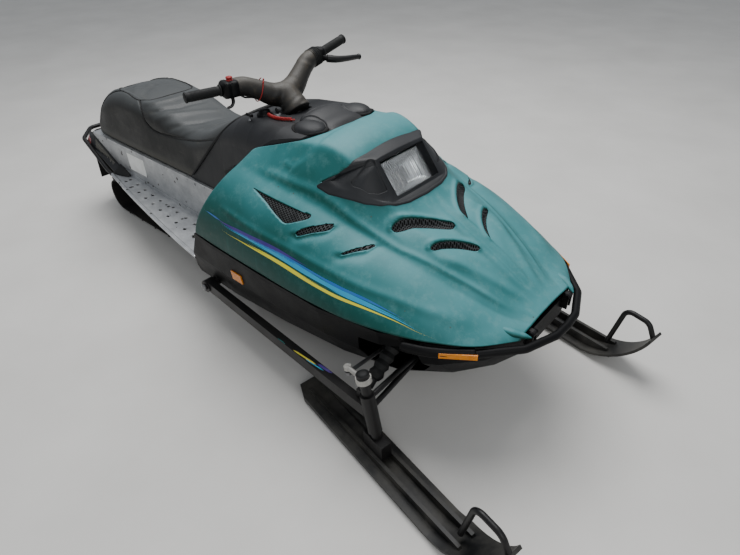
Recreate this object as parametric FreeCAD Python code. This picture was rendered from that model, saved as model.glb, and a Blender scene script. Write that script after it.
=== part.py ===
import FreeCAD, Part
import math
import os

# A two-up touring snowmobile. +X runs towards the nose, +Y to the rider's left and +Z up.
# The origin lies on the ground, midway along the machine and between its sides. Millimetres.

V = FreeCAD.Vector

# Overall layout
tunnel_half_width = 205.0
tunnel_wall = 3.0
tunnel_rear_x = -1300.0
tunnel_front_x = 400.0
tunnel_top_z = 481.0
tunnel_skirt_rear_z = 318.0
tunnel_skirt_front_z = 190.0
tunnel_drop_x = -130.0
gap = 0.3
run_gap = 6.0
# Reach of cutting blocks beyond the machine
far = 2500.0

# Track: one endless belt round the rear idlers, the slide rails and the front drive sprockets
track_half_width = 190.5
belt_thickness = 7.0
lug_height = 19.0
lug_length = 16.0
lug_count = 54
rear_wheel_x = -1248.0
drive_x = 262.0
drive_z = 336.0
drive_radius = 80.0
rear_wheel_radius = 84.0
rail_front_x = -40.0
rail_bend_radius = 330.0
# Rows of lugs across the belt: centre and half width of each block, even and odd rows
lug_rows = (((-140.0, 42.0), (0.0, 46.0), (140.0, 42.0)), ((-72.0, 34.0), (72.0, 34.0)))

# Slide rails and their wheels
rail_half_spacing = 72.0
rail_thickness = 12.0
rail_height = 58.0
slider_height = 12.0
rail_tail_x = -1268.0
bogie_radius = 56.0
wheel_width = 22.0
wheel_web = 10.0
wheel_rim = 11.0
axle_radius = 9.0
axle_clearance = 0.1
# Places along the rails, as shares of the way from the rear wheels' axle to the rails' bend
bogie_shares = (0.2632, 0.5695)
rail_bar_shares = (0.1556, 0.9172)
rail_bar_z = 82.0
rail_bar_radius = 9.0
rail_window_length = 66.0
rail_window_shares = (0.0795, 0.3361, 0.4851, 0.6341, 0.8162)
# Torque arms: share of the foot along the rails, reach ahead to the shaft, its depth below the belt's return
torque_arms = ((0.7599, 270.0, 130.7), (0.4371, 300.0, 18.7))

# Running boards
board_thickness = 3.0
board_front_x = -118.0
board_rear_x = -1075.0
board_front_z = 276.0
board_rear_z = 320.0
board_front_half = 398.0
board_rear_half = 262.0
board_edge_radius = 9.0
cap_gap = 7.0
cap_end_gap = 18.0
cap_thickness = 5.0

# Hood stations: x, top z, shoulder y, z, crease y, z, flank y, z, edge y, z
hood_stations = (
    (-120.0, 828.0, 175.0, 808.0, 300.0, 735.0, 372.0, 682.0, 432.0, 460.0),
    (120.0, 846.0, 185.0, 828.0, 306.0, 738.0, 390.0, 666.0, 446.0, 460.0),
    (380.0, 864.0, 190.0, 846.0, 306.0, 722.0, 403.0, 645.0, 453.0, 460.0),
    (570.0, 858.0, 180.0, 838.0, 288.0, 694.0, 394.0, 618.0, 455.0, 460.0),
    (680.0, 772.0, 170.0, 752.0, 270.0, 655.0, 380.0, 602.0, 452.0, 460.0),
    (780.0, 693.0, 150.0, 684.0, 256.0, 624.0, 362.0, 588.0, 443.0, 460.0),
    (920.0, 632.0, 138.0, 622.0, 228.0, 582.0, 314.0, 560.0, 412.0, 460.0),
    (1060.0, 562.0, 118.0, 552.0, 186.0, 526.0, 254.0, 520.0, 354.0, 459.0),
    (1170.0, 500.0, 95.0, 492.0, 140.0, 478.0, 197.0, 474.0, 272.0, 454.0),
    (1240.0, 470.0, 70.0, 468.0, 104.0, 464.0, 142.0, 459.0, 172.0, 446.0),
)
hood_wall = 4.0
hood_rear_foot_x = 0.0
hood_rear_foot_z = 460.0
hood_rear_lean = 0.57
hinge_x = 1252.0
hinge_z = 446.0
hinge_y = 118.0
hinge_pin_radius = 5.0
hinge_knuckle_radius = 10.0
hinge_knuckle_width = 16.0
hinge_plate = 6.0

# Belly pan stations: x, top half width, middle half width, z, bottom half width, z
pan_stations = (
    (-140.0, 428.0, 424.0, 330.0, 380.0, 186.0),
    (120.0, 444.0, 436.0, 330.0, 385.0, 186.0),
    (400.0, 451.0, 438.0, 330.0, 370.0, 186.0),
    (680.0, 450.0, 430.0, 330.0, 345.0, 190.0),
    (900.0, 414.0, 396.0, 322.0, 305.0, 206.0),
    (1060.0, 336.0, 314.0, 340.0, 228.0, 240.0),
    (1170.0, 252.0, 234.0, 370.0, 168.0, 300.0),
    (1240.0, 150.0, 146.0, 400.0, 118.0, 366.0),
)
pan_wall = 4.0
trim_height = 16.0
trim_depth = 5.0

# Front suspension and steering
leg_top = (927.0, 509.0, 335.0)
leg_bottom = (975.0, 509.0, 100.0)
leg_radius = 16.0
sleeve_radius = 23.0
sleeve_bore_radius = 16.06
arm_pivot = (-15.0, 424.0, 196.0)
arm_height = 44.0
arm_width = 30.0
steering_arm_length = 84.0
ski_rest_turn = -11.0
steer_ratio = 1.25
rod_radius = 8.0
frame_half_width = 200.0
shock_foot = (905.0, 468.0, 264.0)
shock_top = (898.0, 222.0, 410.0)
shock_end_radius = 17.0
# Radius rods: z at the leg, x and z at the frame
radius_rod_ends = ((268.0, 955.0, 300.0), (228.0, 945.0, 276.0))
radius_rod_radius = 9.0
ball_radius = 12.0
stud_radius = 5.0
arm_ring_height = 18.0
arm_ring_radius = 25.0
tie_inner = (838.0, 262.0, 268.0)

# Skis, along their own heading from the leg: rear end, tip, and the edge profile
ski_rear = -409.0
ski_tip = 536.0
ski_half_width = 64.0
ski_thickness = 9.0
ski_rib_height = 26.0
ski_rib_y = 27.0
ski_flat_front = 300.0
ski_tip_z = 205.0
ski_bottom_z = 16.0
wear_bar_radius = 7.0
loop_radius = 9.5
loop_top_z = 258.0

# Front bumper: x and half width of the hoop's corners from its ends to the middle
bumper_points = ((978.0, 396.0), (1048.0, 368.0), (1163.0, 287.0), (1262.0, 176.0), (1304.0, 64.0), (1308.0, 0.0))
bumper_z = 430.0
bumper_radius = 13.0
bumper_bend = 45.0

# Rear bumper: corners of the tube from the running board's end to the middle
rear_bumper_corners = ((-1130.0, 258.0, 330.0), (-1400.0, 226.0, 424.0), (-1488.0, 140.0, 440.0))
rear_bumper_bend = 46.0
rear_bumper_radius = 11.0

# Handlebar
post_foot = (352.0, 0.0, 640.0)
bar_centre = (94.0, 0.0, 912.0)
post_radius = 14.0
bar_radius = 11.0
bar_end = (-68.0, 352.0, 76.0)
bar_inner = (-37.0, 150.0, 57.0)
cover_length = 96.0
cover_foot_radius = 54.0
cover_root_radius = 42.0
cover_end_radius = 32.0
cover_top_radius = 40.0
cover_top_rise = 34.0
control_lap = 14.0
control_radius = 25.0
control_length = 54.0
grip_radius = 17.0
grip_length = 125.0


def mirrored(shape):
    return shape.mirror(V(0, 0, 0), V(0, 1, 0))


def box(x0, x1, y0, y1, z0, z1):
    return Part.makeBox(x1 - x0, y1 - y0, z1 - z0, V(x0, y0, z0))


def rod(start, end, radius):
    a = V(*start)
    b = V(*end)
    return Part.makeCylinder(radius, (b - a).Length, a, b - a)


def fused(shapes):
    joined = shapes[0].multiFuse(list(shapes[1:]))
    return joined.removeSplitter()


def prism_y(points, y0, y1):
    # A flat outline in X and Z, drawn out along Y
    corners = [V(x, y0, z) for x, z in points]
    return Part.Face(Part.makePolygon(corners + corners[:1])).extrude(V(0, y1 - y0, 0))


def prism_z(points, z0, z1):
    # A flat outline in X and Y, drawn out along Z
    corners = [V(x, y, z0) for x, y in points]
    return Part.Face(Part.makePolygon(corners + corners[:1])).extrude(V(0, 0, z1 - z0))


def arc(a, b, c):
    return Part.Arc(V(*a), V(*b), V(*c)).toShape()


def line(a, b):
    return Part.LineSegment(V(*a), V(*b)).toShape()


def bent_path(points, radius):
    # Straight runs joined by tangent arcs of one radius
    pts = [V(*p) for p in points]
    edges = []
    start = pts[0]
    for before, corner, after in zip(pts, pts[1:], pts[2:]):
        back = (before - corner).normalize()
        ahead = (after - corner).normalize()
        half = back.getAngle(ahead) / 2
        reach = radius / math.tan(half)
        middle = (back + ahead).normalize()
        centre = corner + middle * (radius / math.sin(half))
        a = corner + back * reach
        b = corner + ahead * reach
        edges.append(Part.LineSegment(start, a).toShape())
        edges.append(Part.Arc(a, centre - middle * radius, b).toShape())
        start = b
    edges.append(Part.LineSegment(start, pts[-1]).toShape())
    return Part.Wire(edges)


def tube(points, bend, radius, bore=0.0):
    # A round bar or tube along a bent path
    path = bent_path(points, bend)
    start = V(*points[0])
    along = V(*points[1]) - start
    ring = Part.Wire(Part.Circle(start, along, radius).toShape())
    body = path.makePipeShell([ring], True, False)
    if bore:
        hole = Part.Wire(Part.Circle(start, along, bore).toShape())
        body = body.cut(path.makePipeShell([hole], True, False))
    return body


def inset(y, z, wall, y_share, z_share):
    return y - wall * y_share, z - wall * z_share


def hood_section(station, wall, drop):
    # The outline of the hood at one station, moved inwards by a wall
    x, top, sy, sz, cy, cz, fy, fz, ey, ez = station
    sy, sz = inset(sy, sz, wall, 0.5, 1.0)
    cy, cz = inset(cy, cz, wall, 0.8, 0.9)
    fy, fz = inset(fy, fz, wall, 0.95, 0.6)
    ey, ez = ey - wall, ez - drop
    top -= wall
    return Part.Wire([
        arc((x, -ey, ez), (x, -fy, fz), (x, -cy, cz)),
        line((x, -cy, cz), (x, -sy, sz)),
        arc((x, -sy, sz), (x, 0, top), (x, sy, sz)),
        line((x, sy, sz), (x, cy, cz)),
        arc((x, cy, cz), (x, fy, fz), (x, ey, ez)),
        line((x, ey, ez), (x, -ey, ez)),
    ])


def hood_form(wall, drop=0.0):
    return Part.makeLoft([hood_section(s, wall, drop) for s in hood_stations], True, True)


def behind_hood_edge(shift):
    # Everything behind a plane along the hood's rear edge, moved forward by shift
    low_z = -200.0
    high_z = 1400.0
    x_low = hood_rear_foot_x + shift + hood_rear_lean * (low_z - hood_rear_foot_z)
    x_high = hood_rear_foot_x + shift + hood_rear_lean * (high_z - hood_rear_foot_z)
    outline = ((x_low, low_z), (x_high, high_z), (-far, high_z), (-far, low_z))
    return prism_y(outline, -900.0, 900.0)


def lens(outer, rear, inner, front, z0, z1):
    # An opening bounded by two arcs in plan
    edges = [arc((*outer, z0), (*rear, z0), (*inner, z0)), arc((*inner, z0), (*front, z0), (*outer, z0))]
    return Part.Face(Part.Wire(edges)).extrude(V(0, 0, z1 - z0))


def side_lens(rear, upper, ahead, lower, y0, y1):
    # An opening bounded by two arcs in side view
    def at(p):
        return (p[0], y0, p[1])
    edges = [arc(at(rear), at(upper), at(ahead)), arc(at(ahead), at(lower), at(rear))]
    return Part.Face(Part.Wire(edges)).extrude(V(0, y1 - y0, 0))


# Top vents: outer corner, rear middle, inner corner, front middle, in plan
top_vents = (
    ((776.0, 199.0), (806.0, 112.0), (902.0, 32.0), (868.0, 108.0)),
    ((893.0, 163.0), (922.0, 92.0), (1003.0, 30.0), (962.0, 96.0)),
)
# Side vents: rear, upper, front, lower point, in side view
side_vents = (
    ((527.0, 634.0), (574.0, 663.0), (632.0, 657.0), (588.0, 640.0)),
    ((697.0, 613.0), (726.0, 630.0), (764.0, 628.0), (734.0, 618.0)),
)
side_mesh = ((284.0, 699.0), (545.0, 677.0), (474.0, 649.0))
vent_low_y = 240.0
vent_high_y = 480.0


def vent_cutters():
    cutters = []
    for outer, rear, inner, front in top_vents:
        cutters.append(lens(outer, rear, inner, front, 500.0, 900.0))
    for rear, upper, ahead, lower in side_vents:
        cutters.append(side_lens(rear, upper, ahead, lower, vent_low_y, vent_high_y))
    cutters.append(prism_y(side_mesh, vent_low_y, vent_high_y))
    return cutters + [mirrored(c) for c in cutters]


# Pod outline in plan, right half from the middle of its top edge to the middle of its lower edge
pod_outline = ((600.0, 0.0), (594.0, 150.0), (584.0, 190.0), (524.0, 262.0), (572.0, 262.0),
               (630.0, 240.0), (724.0, 176.0), (754.0, 105.0), (768.0, 0.0))
pod_lift = 9.0
lamp_rear_x = 636.0
lamp_front_x = 738.0
lamp_half_width = 112.0
lamp_wall = 8.0
lens_depth = 22.0
lens_thickness = 4.0


def pod_prism(grow):
    right = [(x, y) for x, y in pod_outline]
    left = [(x, -y) for x, y in reversed(pod_outline[1:-1])]
    middle_x = (pod_outline[0][0] + pod_outline[-1][0]) / 2
    share = 1 + grow / 100.0
    points = [(middle_x + (x - middle_x) * share, y * share) for x, y in right + left]
    return prism_z(points, 500.0, 1000.0)


def lamp_opening(clear):
    return box(lamp_rear_x - clear, lamp_front_x + clear, -lamp_half_width - clear,
               lamp_half_width + clear, 500.0, 1000.0)


def make_hood():
    nose_x = hood_stations[-1][0]
    inside = hood_form(hood_wall, 60.0).cut(box(nose_x - hood_wall, nose_x + 1, -600, 600, 0, 900))
    shell = hood_form(0.0).cut(inside)
    shell = shell.cut(behind_hood_edge(0.0)).cut(notch_prism(0.0, 700.0, 1000.0))
    shell = shell.cut(lamp_opening(-6.0))
    for cutter in vent_cutters():
        shell = shell.cut(cutter)
    return shell


def make_lamp_pod():
    pod = hood_form(-pod_lift).common(pod_prism(0.0)).cut(hood_form(-gap))
    return pod.cut(lamp_opening(0.0))


def make_headlamp_housing():
    outer = hood_form(hood_wall + gap).common(lamp_opening(4.0))
    outer = outer.common(box(500, 900, -300, 300, 620.0, 900.0))
    inner = hood_form(-2.0).common(lamp_opening(-lamp_wall)).common(box(500, 900, -300, 300, 640.0, 900.0))
    return outer.cut(inner)


def make_headlamp_lens():
    throat = lamp_opening(-lamp_wall - gap)
    return throat.common(hood_form(lens_depth)).cut(hood_form(lens_depth + lens_thickness))


def make_vent_grilles():
    skin = hood_form(hood_wall + gap, 60.0).cut(hood_form(hood_wall + gap + 2.5, 60.0))
    margin = 12.0
    corners = [p for vent in top_vents for p in vent]
    xs = [p[0] for p in corners]
    ys = [p[1] for p in corners]
    blocks = [box(min(xs) - margin, max(xs) + margin, min(ys) - margin, max(ys) + margin, 450, 900)]
    for outline in [side_mesh] + list(side_vents):
        xs = [p[0] for p in outline]
        zs = [p[1] for p in outline]
        blocks.append(box(min(xs) - margin / 2, max(xs) + margin / 2, 280, 500, min(zs) - margin, max(zs) + margin))
    right = [skin.common(blocks[0])]
    right.append(skin.common(fused(blocks[1:3])))
    right.append(skin.common(blocks[3]))
    return right


def make_hood_hinges():
    # Ears on the hood's nose with the knuckles that turn on the pan's pins
    nose_x = hood_stations[-1][0] + gap
    shapes = []
    for side in (-1, 1):
        y0 = side * hinge_y - hinge_knuckle_width / 2
        y1 = y0 + hinge_knuckle_width
        knuckle = rod((hinge_x, y0, hinge_z), (hinge_x, y1, hinge_z), hinge_knuckle_radius)
        ear = knuckle.fuse(box(nose_x, hinge_x, y0, y1, hinge_z - 2, hinge_z + 10))
        bore = rod((hinge_x, y0 - 1, hinge_z), (hinge_x, y1 + 1, hinge_z), hinge_pin_radius + 0.08)
        shapes.append(ear.cut(bore).removeSplitter())
    return shapes


def hinge_brackets():
    # Plates on each side of the hood's ears, with the pin through them
    nose_x = pan_stations[-1][0]
    width = hinge_knuckle_width / 2 + 1.0
    pieces = []
    for side in (-1, 1):
        for edge in (-width - hinge_plate, width):
            y0 = side * hinge_y + edge
            y1 = y0 + hinge_plate
            pieces.append(rod((hinge_x, y0, hinge_z), (hinge_x, y1, hinge_z), hinge_knuckle_radius))
            pieces.append(box(hinge_x - 8, hinge_x + 9, y0, y1, hinge_z - 30, hinge_z))
            pieces.append(box(nose_x - 8, hinge_x + 9, y0, y1, hinge_z - 44, hinge_z - 20))
        pieces.append(rod((hinge_x, side * hinge_y - width - 1, hinge_z),
                          (hinge_x, side * hinge_y + width + 1, hinge_z), hinge_pin_radius))
    return pieces


def pan_section(station, wall, rise):
    # Rim, upright band under the rim, side and floor of the pan at one station
    x, top_y, mid_y, mid_z, low_y, low_z = station
    top_z = hood_edge_z(x) - run_gap
    points = ((-top_y + wall, top_z + rise), (-top_y + wall, top_z - trim_height),
              (-mid_y + wall, mid_z), (-low_y + wall * 0.8, low_z + wall))
    points += tuple((-y, z) for y, z in reversed(points))
    corners = [V(x, y, z) for y, z in points]
    return Part.makePolygon(corners + corners[:1])


def hood_edge_z(x):
    # Height of the hood's lower edge at a station
    for a, b in zip(hood_stations, hood_stations[1:]):
        if a[0] <= x <= b[0]:
            return a[-1] + (b[-1] - a[-1]) * (x - a[0]) / (b[0] - a[0])
    return hood_stations[0][-1] if x < hood_stations[0][0] else hood_stations[-1][-1]


def pan_form(wall, rise=0.0):
    return Part.makeLoft([pan_section(s, wall, rise) for s in pan_stations], True, True)


def tunnel_block(clear):
    # The room the tunnel takes
    half = tunnel_half_width + clear
    return box(tunnel_rear_x, tunnel_front_x + 30 + clear, -half, half, 0, tunnel_top_z + clear)


suspension_window = ((800.0, 226.0), (822.0, 388.0), (996.0, 404.0), (1022.0, 300.0), (975.0, 226.0))


def make_belly_pan():
    outer = pan_form(0.0)
    pan = outer.cut(pan_form(pan_wall, 40.0))
    pan = pan.cut(behind_hood_edge(-6.0))
    pan = pan.cut(tunnel_block(gap))
    window = prism_y(suspension_window, 232.0, 520.0)
    pan = pan.cut(window).cut(mirrored(window))
    pan = pan.cut(rod((arm_pivot[0], -600, arm_pivot[2]), (arm_pivot[0], 600, arm_pivot[2]), 26.0))
    nose_x = pan_stations[-1][0]
    nose = box(nose_x - pan_wall, nose_x, -300, 300, 0, 600).common(outer)
    return fused([pan, nose] + hinge_brackets())


def make_pan_trim():
    # The moulding along the pan's rim, back from the bumper's ends
    ring = pan_form(-trim_depth).cut(pan_form(-gap, 60.0)).cut(behind_hood_edge(-run_gap))
    low = hood_stations[0][-1] - run_gap - trim_height
    band = box(-400, bumper_points[0][0] - bumper_radius - 2, -600, 600, low + 0.5, low + trim_height)
    return ring.common(band)


def make_reflectors():
    # Amber reflectors, one on each flank of the pan and one on each side of the bumper
    flank = pan_form(-trim_depth).cut(pan_form(-gap)).common(box(204, 264, 300, 600, 338, 378))
    a = V(bumper_points[1][0], bumper_points[1][1], bumper_z)
    b = V(bumper_points[2][0], bumper_points[2][1], bumper_z)
    along = (b - a).normalize()
    outward = V(-along.y, along.x, 0)
    start = a + along * 34 + outward * (bumper_radius - 1)
    strip = Part.makeBox(112, 5, 18, V(0, 0, -9))
    strip.Placement = FreeCAD.Placement(start, FreeCAD.Rotation(V(1, 0, 0), along))
    strip = strip.cut(make_bumper_hoop())
    return [flank, strip, mirrored(flank), mirrored(strip)]


def make_tunnel():
    # A sheet channel, deeper at the front where it carries the drive axle
    side = ((tunnel_rear_x, tunnel_top_z), (tunnel_front_x, tunnel_top_z),
            (tunnel_front_x, tunnel_skirt_front_z + 60), (tunnel_front_x - 70, tunnel_skirt_front_z),
            (tunnel_drop_x + 60, tunnel_skirt_front_z), (tunnel_drop_x, board_front_z - board_thickness),
            (tunnel_rear_x + 120, tunnel_skirt_rear_z), (tunnel_rear_x, tunnel_skirt_rear_z + 70))
    outer = prism_y(side, -tunnel_half_width, tunnel_half_width)
    inner = box(tunnel_rear_x - 5, tunnel_front_x + 5, -tunnel_half_width + tunnel_wall,
                tunnel_half_width - tunnel_wall, 0, tunnel_top_z - tunnel_wall)
    tunnel = outer.cut(inner)
    bearing = rod((drive_x, -tunnel_half_width - 1, drive_z), (drive_x, tunnel_half_width + 1, drive_z), 20.1)
    return tunnel.cut(bearing)


def board_z(x):
    share = (x - board_rear_x) / (board_front_x - board_rear_x)
    return board_rear_z + (board_front_z - board_rear_z) * share


def board_half(x):
    share = (x - board_rear_x) / (board_front_x - board_rear_x)
    bow = 12.0 * math.sin(math.pi * share)
    return board_rear_half + (board_front_half - board_rear_half) * share + bow


def make_running_board():
    # A tapering plate with a rolled outer edge and rows of raised drain holes
    inner_y = tunnel_half_width + gap
    xs = [board_front_x, -400.0, -740.0, board_rear_x]
    sheet = []
    for a, b in zip(xs, xs[1:]):
        za, zb = board_z(a), board_z(b)
        lower = [V(a, inner_y, za - board_thickness), V(a, board_half(a), za - board_thickness),
                 V(b, board_half(b), zb - board_thickness), V(b, inner_y, zb - board_thickness)]
        face = Part.Face(Part.makePolygon(lower + lower[:1]))
        sheet.append(face.extrude(V(0, 0, board_thickness)))
    plate = sheet[0].multiFuse(sheet[1:]).removeSplitter()
    hole_rows = (0.3, 0.62)
    hole_pitch = 76.0
    hole_radius = 9.0
    hole_angles = [math.radians(22.5 + 45 * k) for k in range(8)]
    holes = []
    count = int((board_front_x - board_rear_x - 120) / hole_pitch)
    for i in range(count):
        x = board_front_x - 70 - i * hole_pitch
        for share in hole_rows:
            y = inner_y + (board_half(x) - inner_y) * share
            corners = [(x + hole_radius * math.cos(a), y + hole_radius * math.sin(a)) for a in hole_angles]
            holes.append(prism_z(corners, board_z(x) - 20, board_z(x) + 20))
    plate = plate.cut(Part.makeCompound(holes))
    edge_points = [(x, board_half(x), board_z(x) - 2) for x in xs]
    edge = tube(edge_points, 300.0, board_edge_radius)
    lip = box(board_rear_x, tunnel_drop_x - 20, inner_y, inner_y + 3, board_rear_z, board_rear_z + 22)
    tilt = math.degrees(math.atan2(board_rear_z - board_front_z, board_front_x - board_rear_x))
    lip.rotate(V(board_rear_x, 0, board_rear_z), V(0, 1, 0), tilt)
    lip.translate(V(0, 0, -0.5))
    return plate.fuse(edge).fuse(lip).removeSplitter()


def circle_tangent(ca, ra, cb, rb, side):
    # Tangent points of the straight run joining two circles, both on the given side of the line a to b
    dx, dz = cb[0] - ca[0], cb[1] - ca[1]
    length = math.hypot(dx, dz)
    base = math.atan2(dz, dx)
    turn = side * math.acos((ra - rb) / length)
    nx, nz = math.cos(base + turn), math.sin(base + turn)
    return (ca[0] + nx * ra, ca[1] + nz * ra), (cb[0] + nx * rb, cb[1] + nz * rb)


def track_circles(offset):
    # Wheels that the belt wraps, anticlockwise from the rear: centre and radius of the belt's inner face
    rail_centre = (rail_front_x, lug_height + belt_thickness + rail_bend_radius)
    return (
        ((rear_wheel_x, lug_height + belt_thickness + rear_wheel_radius), rear_wheel_radius + offset),
        (rail_centre, rail_bend_radius + offset),
        ((drive_x, drive_z), drive_radius + offset),
    )


def track_path(offset):
    # Runs and arcs of the loop, as a list of (kind, data) going forward along the ground and back on top
    rear, bend, drive = track_circles(offset)
    low_a, low_b = circle_tangent(*rear, *bend, -1)
    up_a, up_b = circle_tangent(*bend, *drive, -1)
    top_a, top_b = circle_tangent(*drive, *rear, -1)
    return (
        ("run", low_a, low_b),
        ("arc", bend[0], bend[1], low_b, up_a),
        ("run", up_a, up_b),
        ("arc", drive[0], drive[1], up_b, top_a),
        ("run", top_a, top_b),
        ("arc", rear[0], rear[1], top_b, low_a),
    )


def piece_angles(piece):
    kind, centre, radius, a, b = piece
    start = math.atan2(a[1] - centre[1], a[0] - centre[0])
    end = math.atan2(b[1] - centre[1], b[0] - centre[0])
    if end < start:
        end += 2 * math.pi
    return start, end


def piece_length(piece):
    if piece[0] == "run":
        return math.dist(piece[1], piece[2])
    start, end = piece_angles(piece)
    return (end - start) * piece[2]


def track_wire(offset, y):
    edges = []
    for piece in track_path(offset):
        if piece[0] == "run":
            edges.append(line((piece[1][0], y, piece[1][1]), (piece[2][0], y, piece[2][1])))
            continue
        start, end = piece_angles(piece)
        centre, radius = piece[1], piece[2]
        mid = (start + end) / 2
        at = [(centre[0] + radius * math.cos(t), y, centre[1] + radius * math.sin(t)) for t in (start, mid, end)]
        edges.append(arc(*at))
    return Part.Wire(edges)


def track_point(path, distance):
    # Place and outward direction on the loop, a distance along it
    for piece in path:
        length = piece_length(piece)
        if distance > length:
            distance -= length
            continue
        if piece[0] == "run":
            a, b = piece[1], piece[2]
            share = distance / length
            direction = ((b[0] - a[0]) / length, (b[1] - a[1]) / length)
            return (a[0] + (b[0] - a[0]) * share, a[1] + (b[1] - a[1]) * share), (direction[1], -direction[0])
        start, end = piece_angles(piece)
        angle = start + distance / piece[2]
        centre, radius = piece[1], piece[2]
        return ((centre[0] + radius * math.cos(angle), centre[1] + radius * math.sin(angle)),
                (math.cos(angle), math.sin(angle)))
    return track_point(path, 0.0)


def make_track():
    outer = Part.Face(track_wire(belt_thickness, -track_half_width))
    inner = Part.Face(track_wire(0.0, -track_half_width))
    belt = outer.cut(inner).extrude(V(0, 2 * track_half_width, 0))
    path = track_path(belt_thickness)
    total = sum(piece_length(p) for p in path)
    root = 1.5
    lugs = []
    for i in range(lug_count):
        place, out = track_point(path, (i + 0.5) * total / lug_count)
        along = (-out[1], out[0])
        foot, tip = lug_length / 2, lug_length / 3
        corners = ((-foot, -root), (foot, -root), (tip, lug_height), (-tip, lug_height))
        outline = [(place[0] + along[0] * s + out[0] * h, place[1] + along[1] * s + out[1] * h) for s, h in corners]
        for middle, half in lug_rows[i % 2]:
            lugs.append(prism_y(outline, middle - half, middle + half))
    return belt.multiFuse(lugs)


def rail_outline():
    # Side view of one slide rail: flat along the ground, bent up at the front
    belt_z = lug_height + belt_thickness
    low = belt_z + gap
    bend_x = rail_front_x
    slope = math.radians(30.0)
    reach = rail_bend_radius - gap
    centre_z = belt_z + rail_bend_radius
    nose_low = (bend_x + reach * math.sin(slope), centre_z - reach * math.cos(slope))
    nose_high = (nose_low[0] - 30, nose_low[1] + 42)
    mid_low = (bend_x + reach * math.sin(slope / 2), centre_z - reach * math.cos(slope / 2))
    tail_x = rear_wheel_x + 36
    height = rail_height + slider_height
    axle_z = rear_axle_z()
    edges = [
        line((tail_x, 0, low), (bend_x, 0, low)),
        arc((bend_x, 0, low), (mid_low[0], 0, mid_low[1]), (nose_low[0], 0, nose_low[1])),
        line((nose_low[0], 0, nose_low[1]), (nose_high[0], 0, nose_high[1])),
        line((nose_high[0], 0, nose_high[1]), (bend_x - 30, 0, low + height)),
        line((bend_x - 30, 0, low + height), (tail_x + 30, 0, low + height)),
        line((tail_x + 30, 0, low + height), (tail_x, 0, axle_z + 20)),
        line((tail_x, 0, axle_z + 20), (rail_tail_x, 0, axle_z + 20)),
        line((rail_tail_x, 0, axle_z + 20), (rail_tail_x, 0, axle_z - 20)),
        line((rail_tail_x, 0, axle_z - 20), (tail_x, 0, low)),
    ]
    return Part.Face(Part.Wire(edges))


def along_rail(share):
    return rear_wheel_x + share * (rail_front_x - rear_wheel_x)


def return_belt_z(x):
    # Underside of the belt's upper run, from the rear wheels up to the sprockets
    rear_top = rear_axle_z() + rear_wheel_radius
    front_top = drive_z + drive_radius
    return rear_top + (front_top - rear_top) * (x - rear_wheel_x) / (drive_x - rear_wheel_x)


def rear_axle_z():
    return lug_height + belt_thickness + rear_wheel_radius


def bogie_axle_z():
    return lug_height + belt_thickness + bogie_radius


def make_slide_rails():
    rails = []
    low = lug_height + belt_thickness + slider_height + 20
    cutters = [rod((rear_wheel_x, -200, rear_axle_z()), (rear_wheel_x, 200, rear_axle_z()),
                   axle_radius + axle_clearance)]
    for x in map(along_rail, bogie_shares):
        cutters.append(rod((x, -200, bogie_axle_z()), (x, 200, bogie_axle_z()), axle_radius + axle_clearance))
    for x in map(along_rail, rail_window_shares):
        cutters.append(box(x, x + rail_window_length, -200, 200, low, low + 26))
    for side in (-1, 1):
        rail = rail_outline().extrude(V(0, rail_thickness, 0))
        rail.translate(V(0, side * rail_half_spacing - rail_thickness / 2, 0))
        rails.append(rail.cut(Part.makeCompound(cutters)))
    for x in map(along_rail, rail_bar_shares):
        rails.append(rod((x, -rail_half_spacing, rail_bar_z), (x, rail_half_spacing, rail_bar_z), rail_bar_radius))
    return fused(rails)


def wheel(x, y, z, radius, bore):
    # One idler wheel: a web with a wider rim about a crosswise axle
    half = wheel_width / 2
    web = wheel_web / 2
    inside = radius - wheel_rim
    profile = [V(0, -web, bore), V(0, web, bore), V(0, web, inside), V(0, half, inside + 3), V(0, half, radius),
               V(0, -half, radius), V(0, -half, inside + 3), V(0, -web, inside)]
    face = Part.Face(Part.makePolygon(profile + profile[:1]))
    solid = face.revolve(V(0, 0, 0), V(0, 1, 0), 360)
    solid.translate(V(x, y, z))
    return solid


wheel_ys = (-112.0, 112.0)
rear_wheel_ys = (-112.0, -24.0, 24.0, 112.0)


def make_idler_wheels():
    wheels = []
    bore = axle_radius + axle_clearance
    for y in rear_wheel_ys:
        wheels.append(wheel(rear_wheel_x, y, rear_axle_z(), rear_wheel_radius - gap, bore))
    for x in map(along_rail, bogie_shares):
        for y in wheel_ys:
            wheels.append(wheel(x, y, bogie_axle_z(), bogie_radius - gap, bore))
    reach = wheel_ys[1] + wheel_width / 2 + 6
    wheels.append(rod((rear_wheel_x, -reach, rear_axle_z()), (rear_wheel_x, reach, rear_axle_z()), axle_radius))
    for x in map(along_rail, bogie_shares):
        wheels.append(rod((x, -reach, bogie_axle_z()), (x, reach, bogie_axle_z()), axle_radius))
    return wheels


def make_suspension_arms():
    # Front and rear torque arms, from shafts between the rails up to shafts held in the tunnel's sides
    arms = []
    reach = tunnel_half_width - tunnel_wall - gap
    foot_reach = rail_half_spacing - rail_thickness / 2 - gap
    for foot_share, ahead, depth in torque_arms:
        foot_x = along_rail(foot_share)
        top_x = foot_x + ahead
        top_z = return_belt_z(top_x) - depth
        pieces = [rod((top_x, -reach, top_z), (top_x, reach, top_z), 12.0),
                  rod((foot_x, -foot_reach, rail_bar_z), (foot_x, foot_reach, rail_bar_z), rail_bar_radius + 3)]
        for side in (-1, 1):
            pieces.append(rod((foot_x, side * 40.0, rail_bar_z), (top_x, side * 40.0, top_z), 10.0))
        arms.append(fused(pieces))
    return arms


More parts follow.
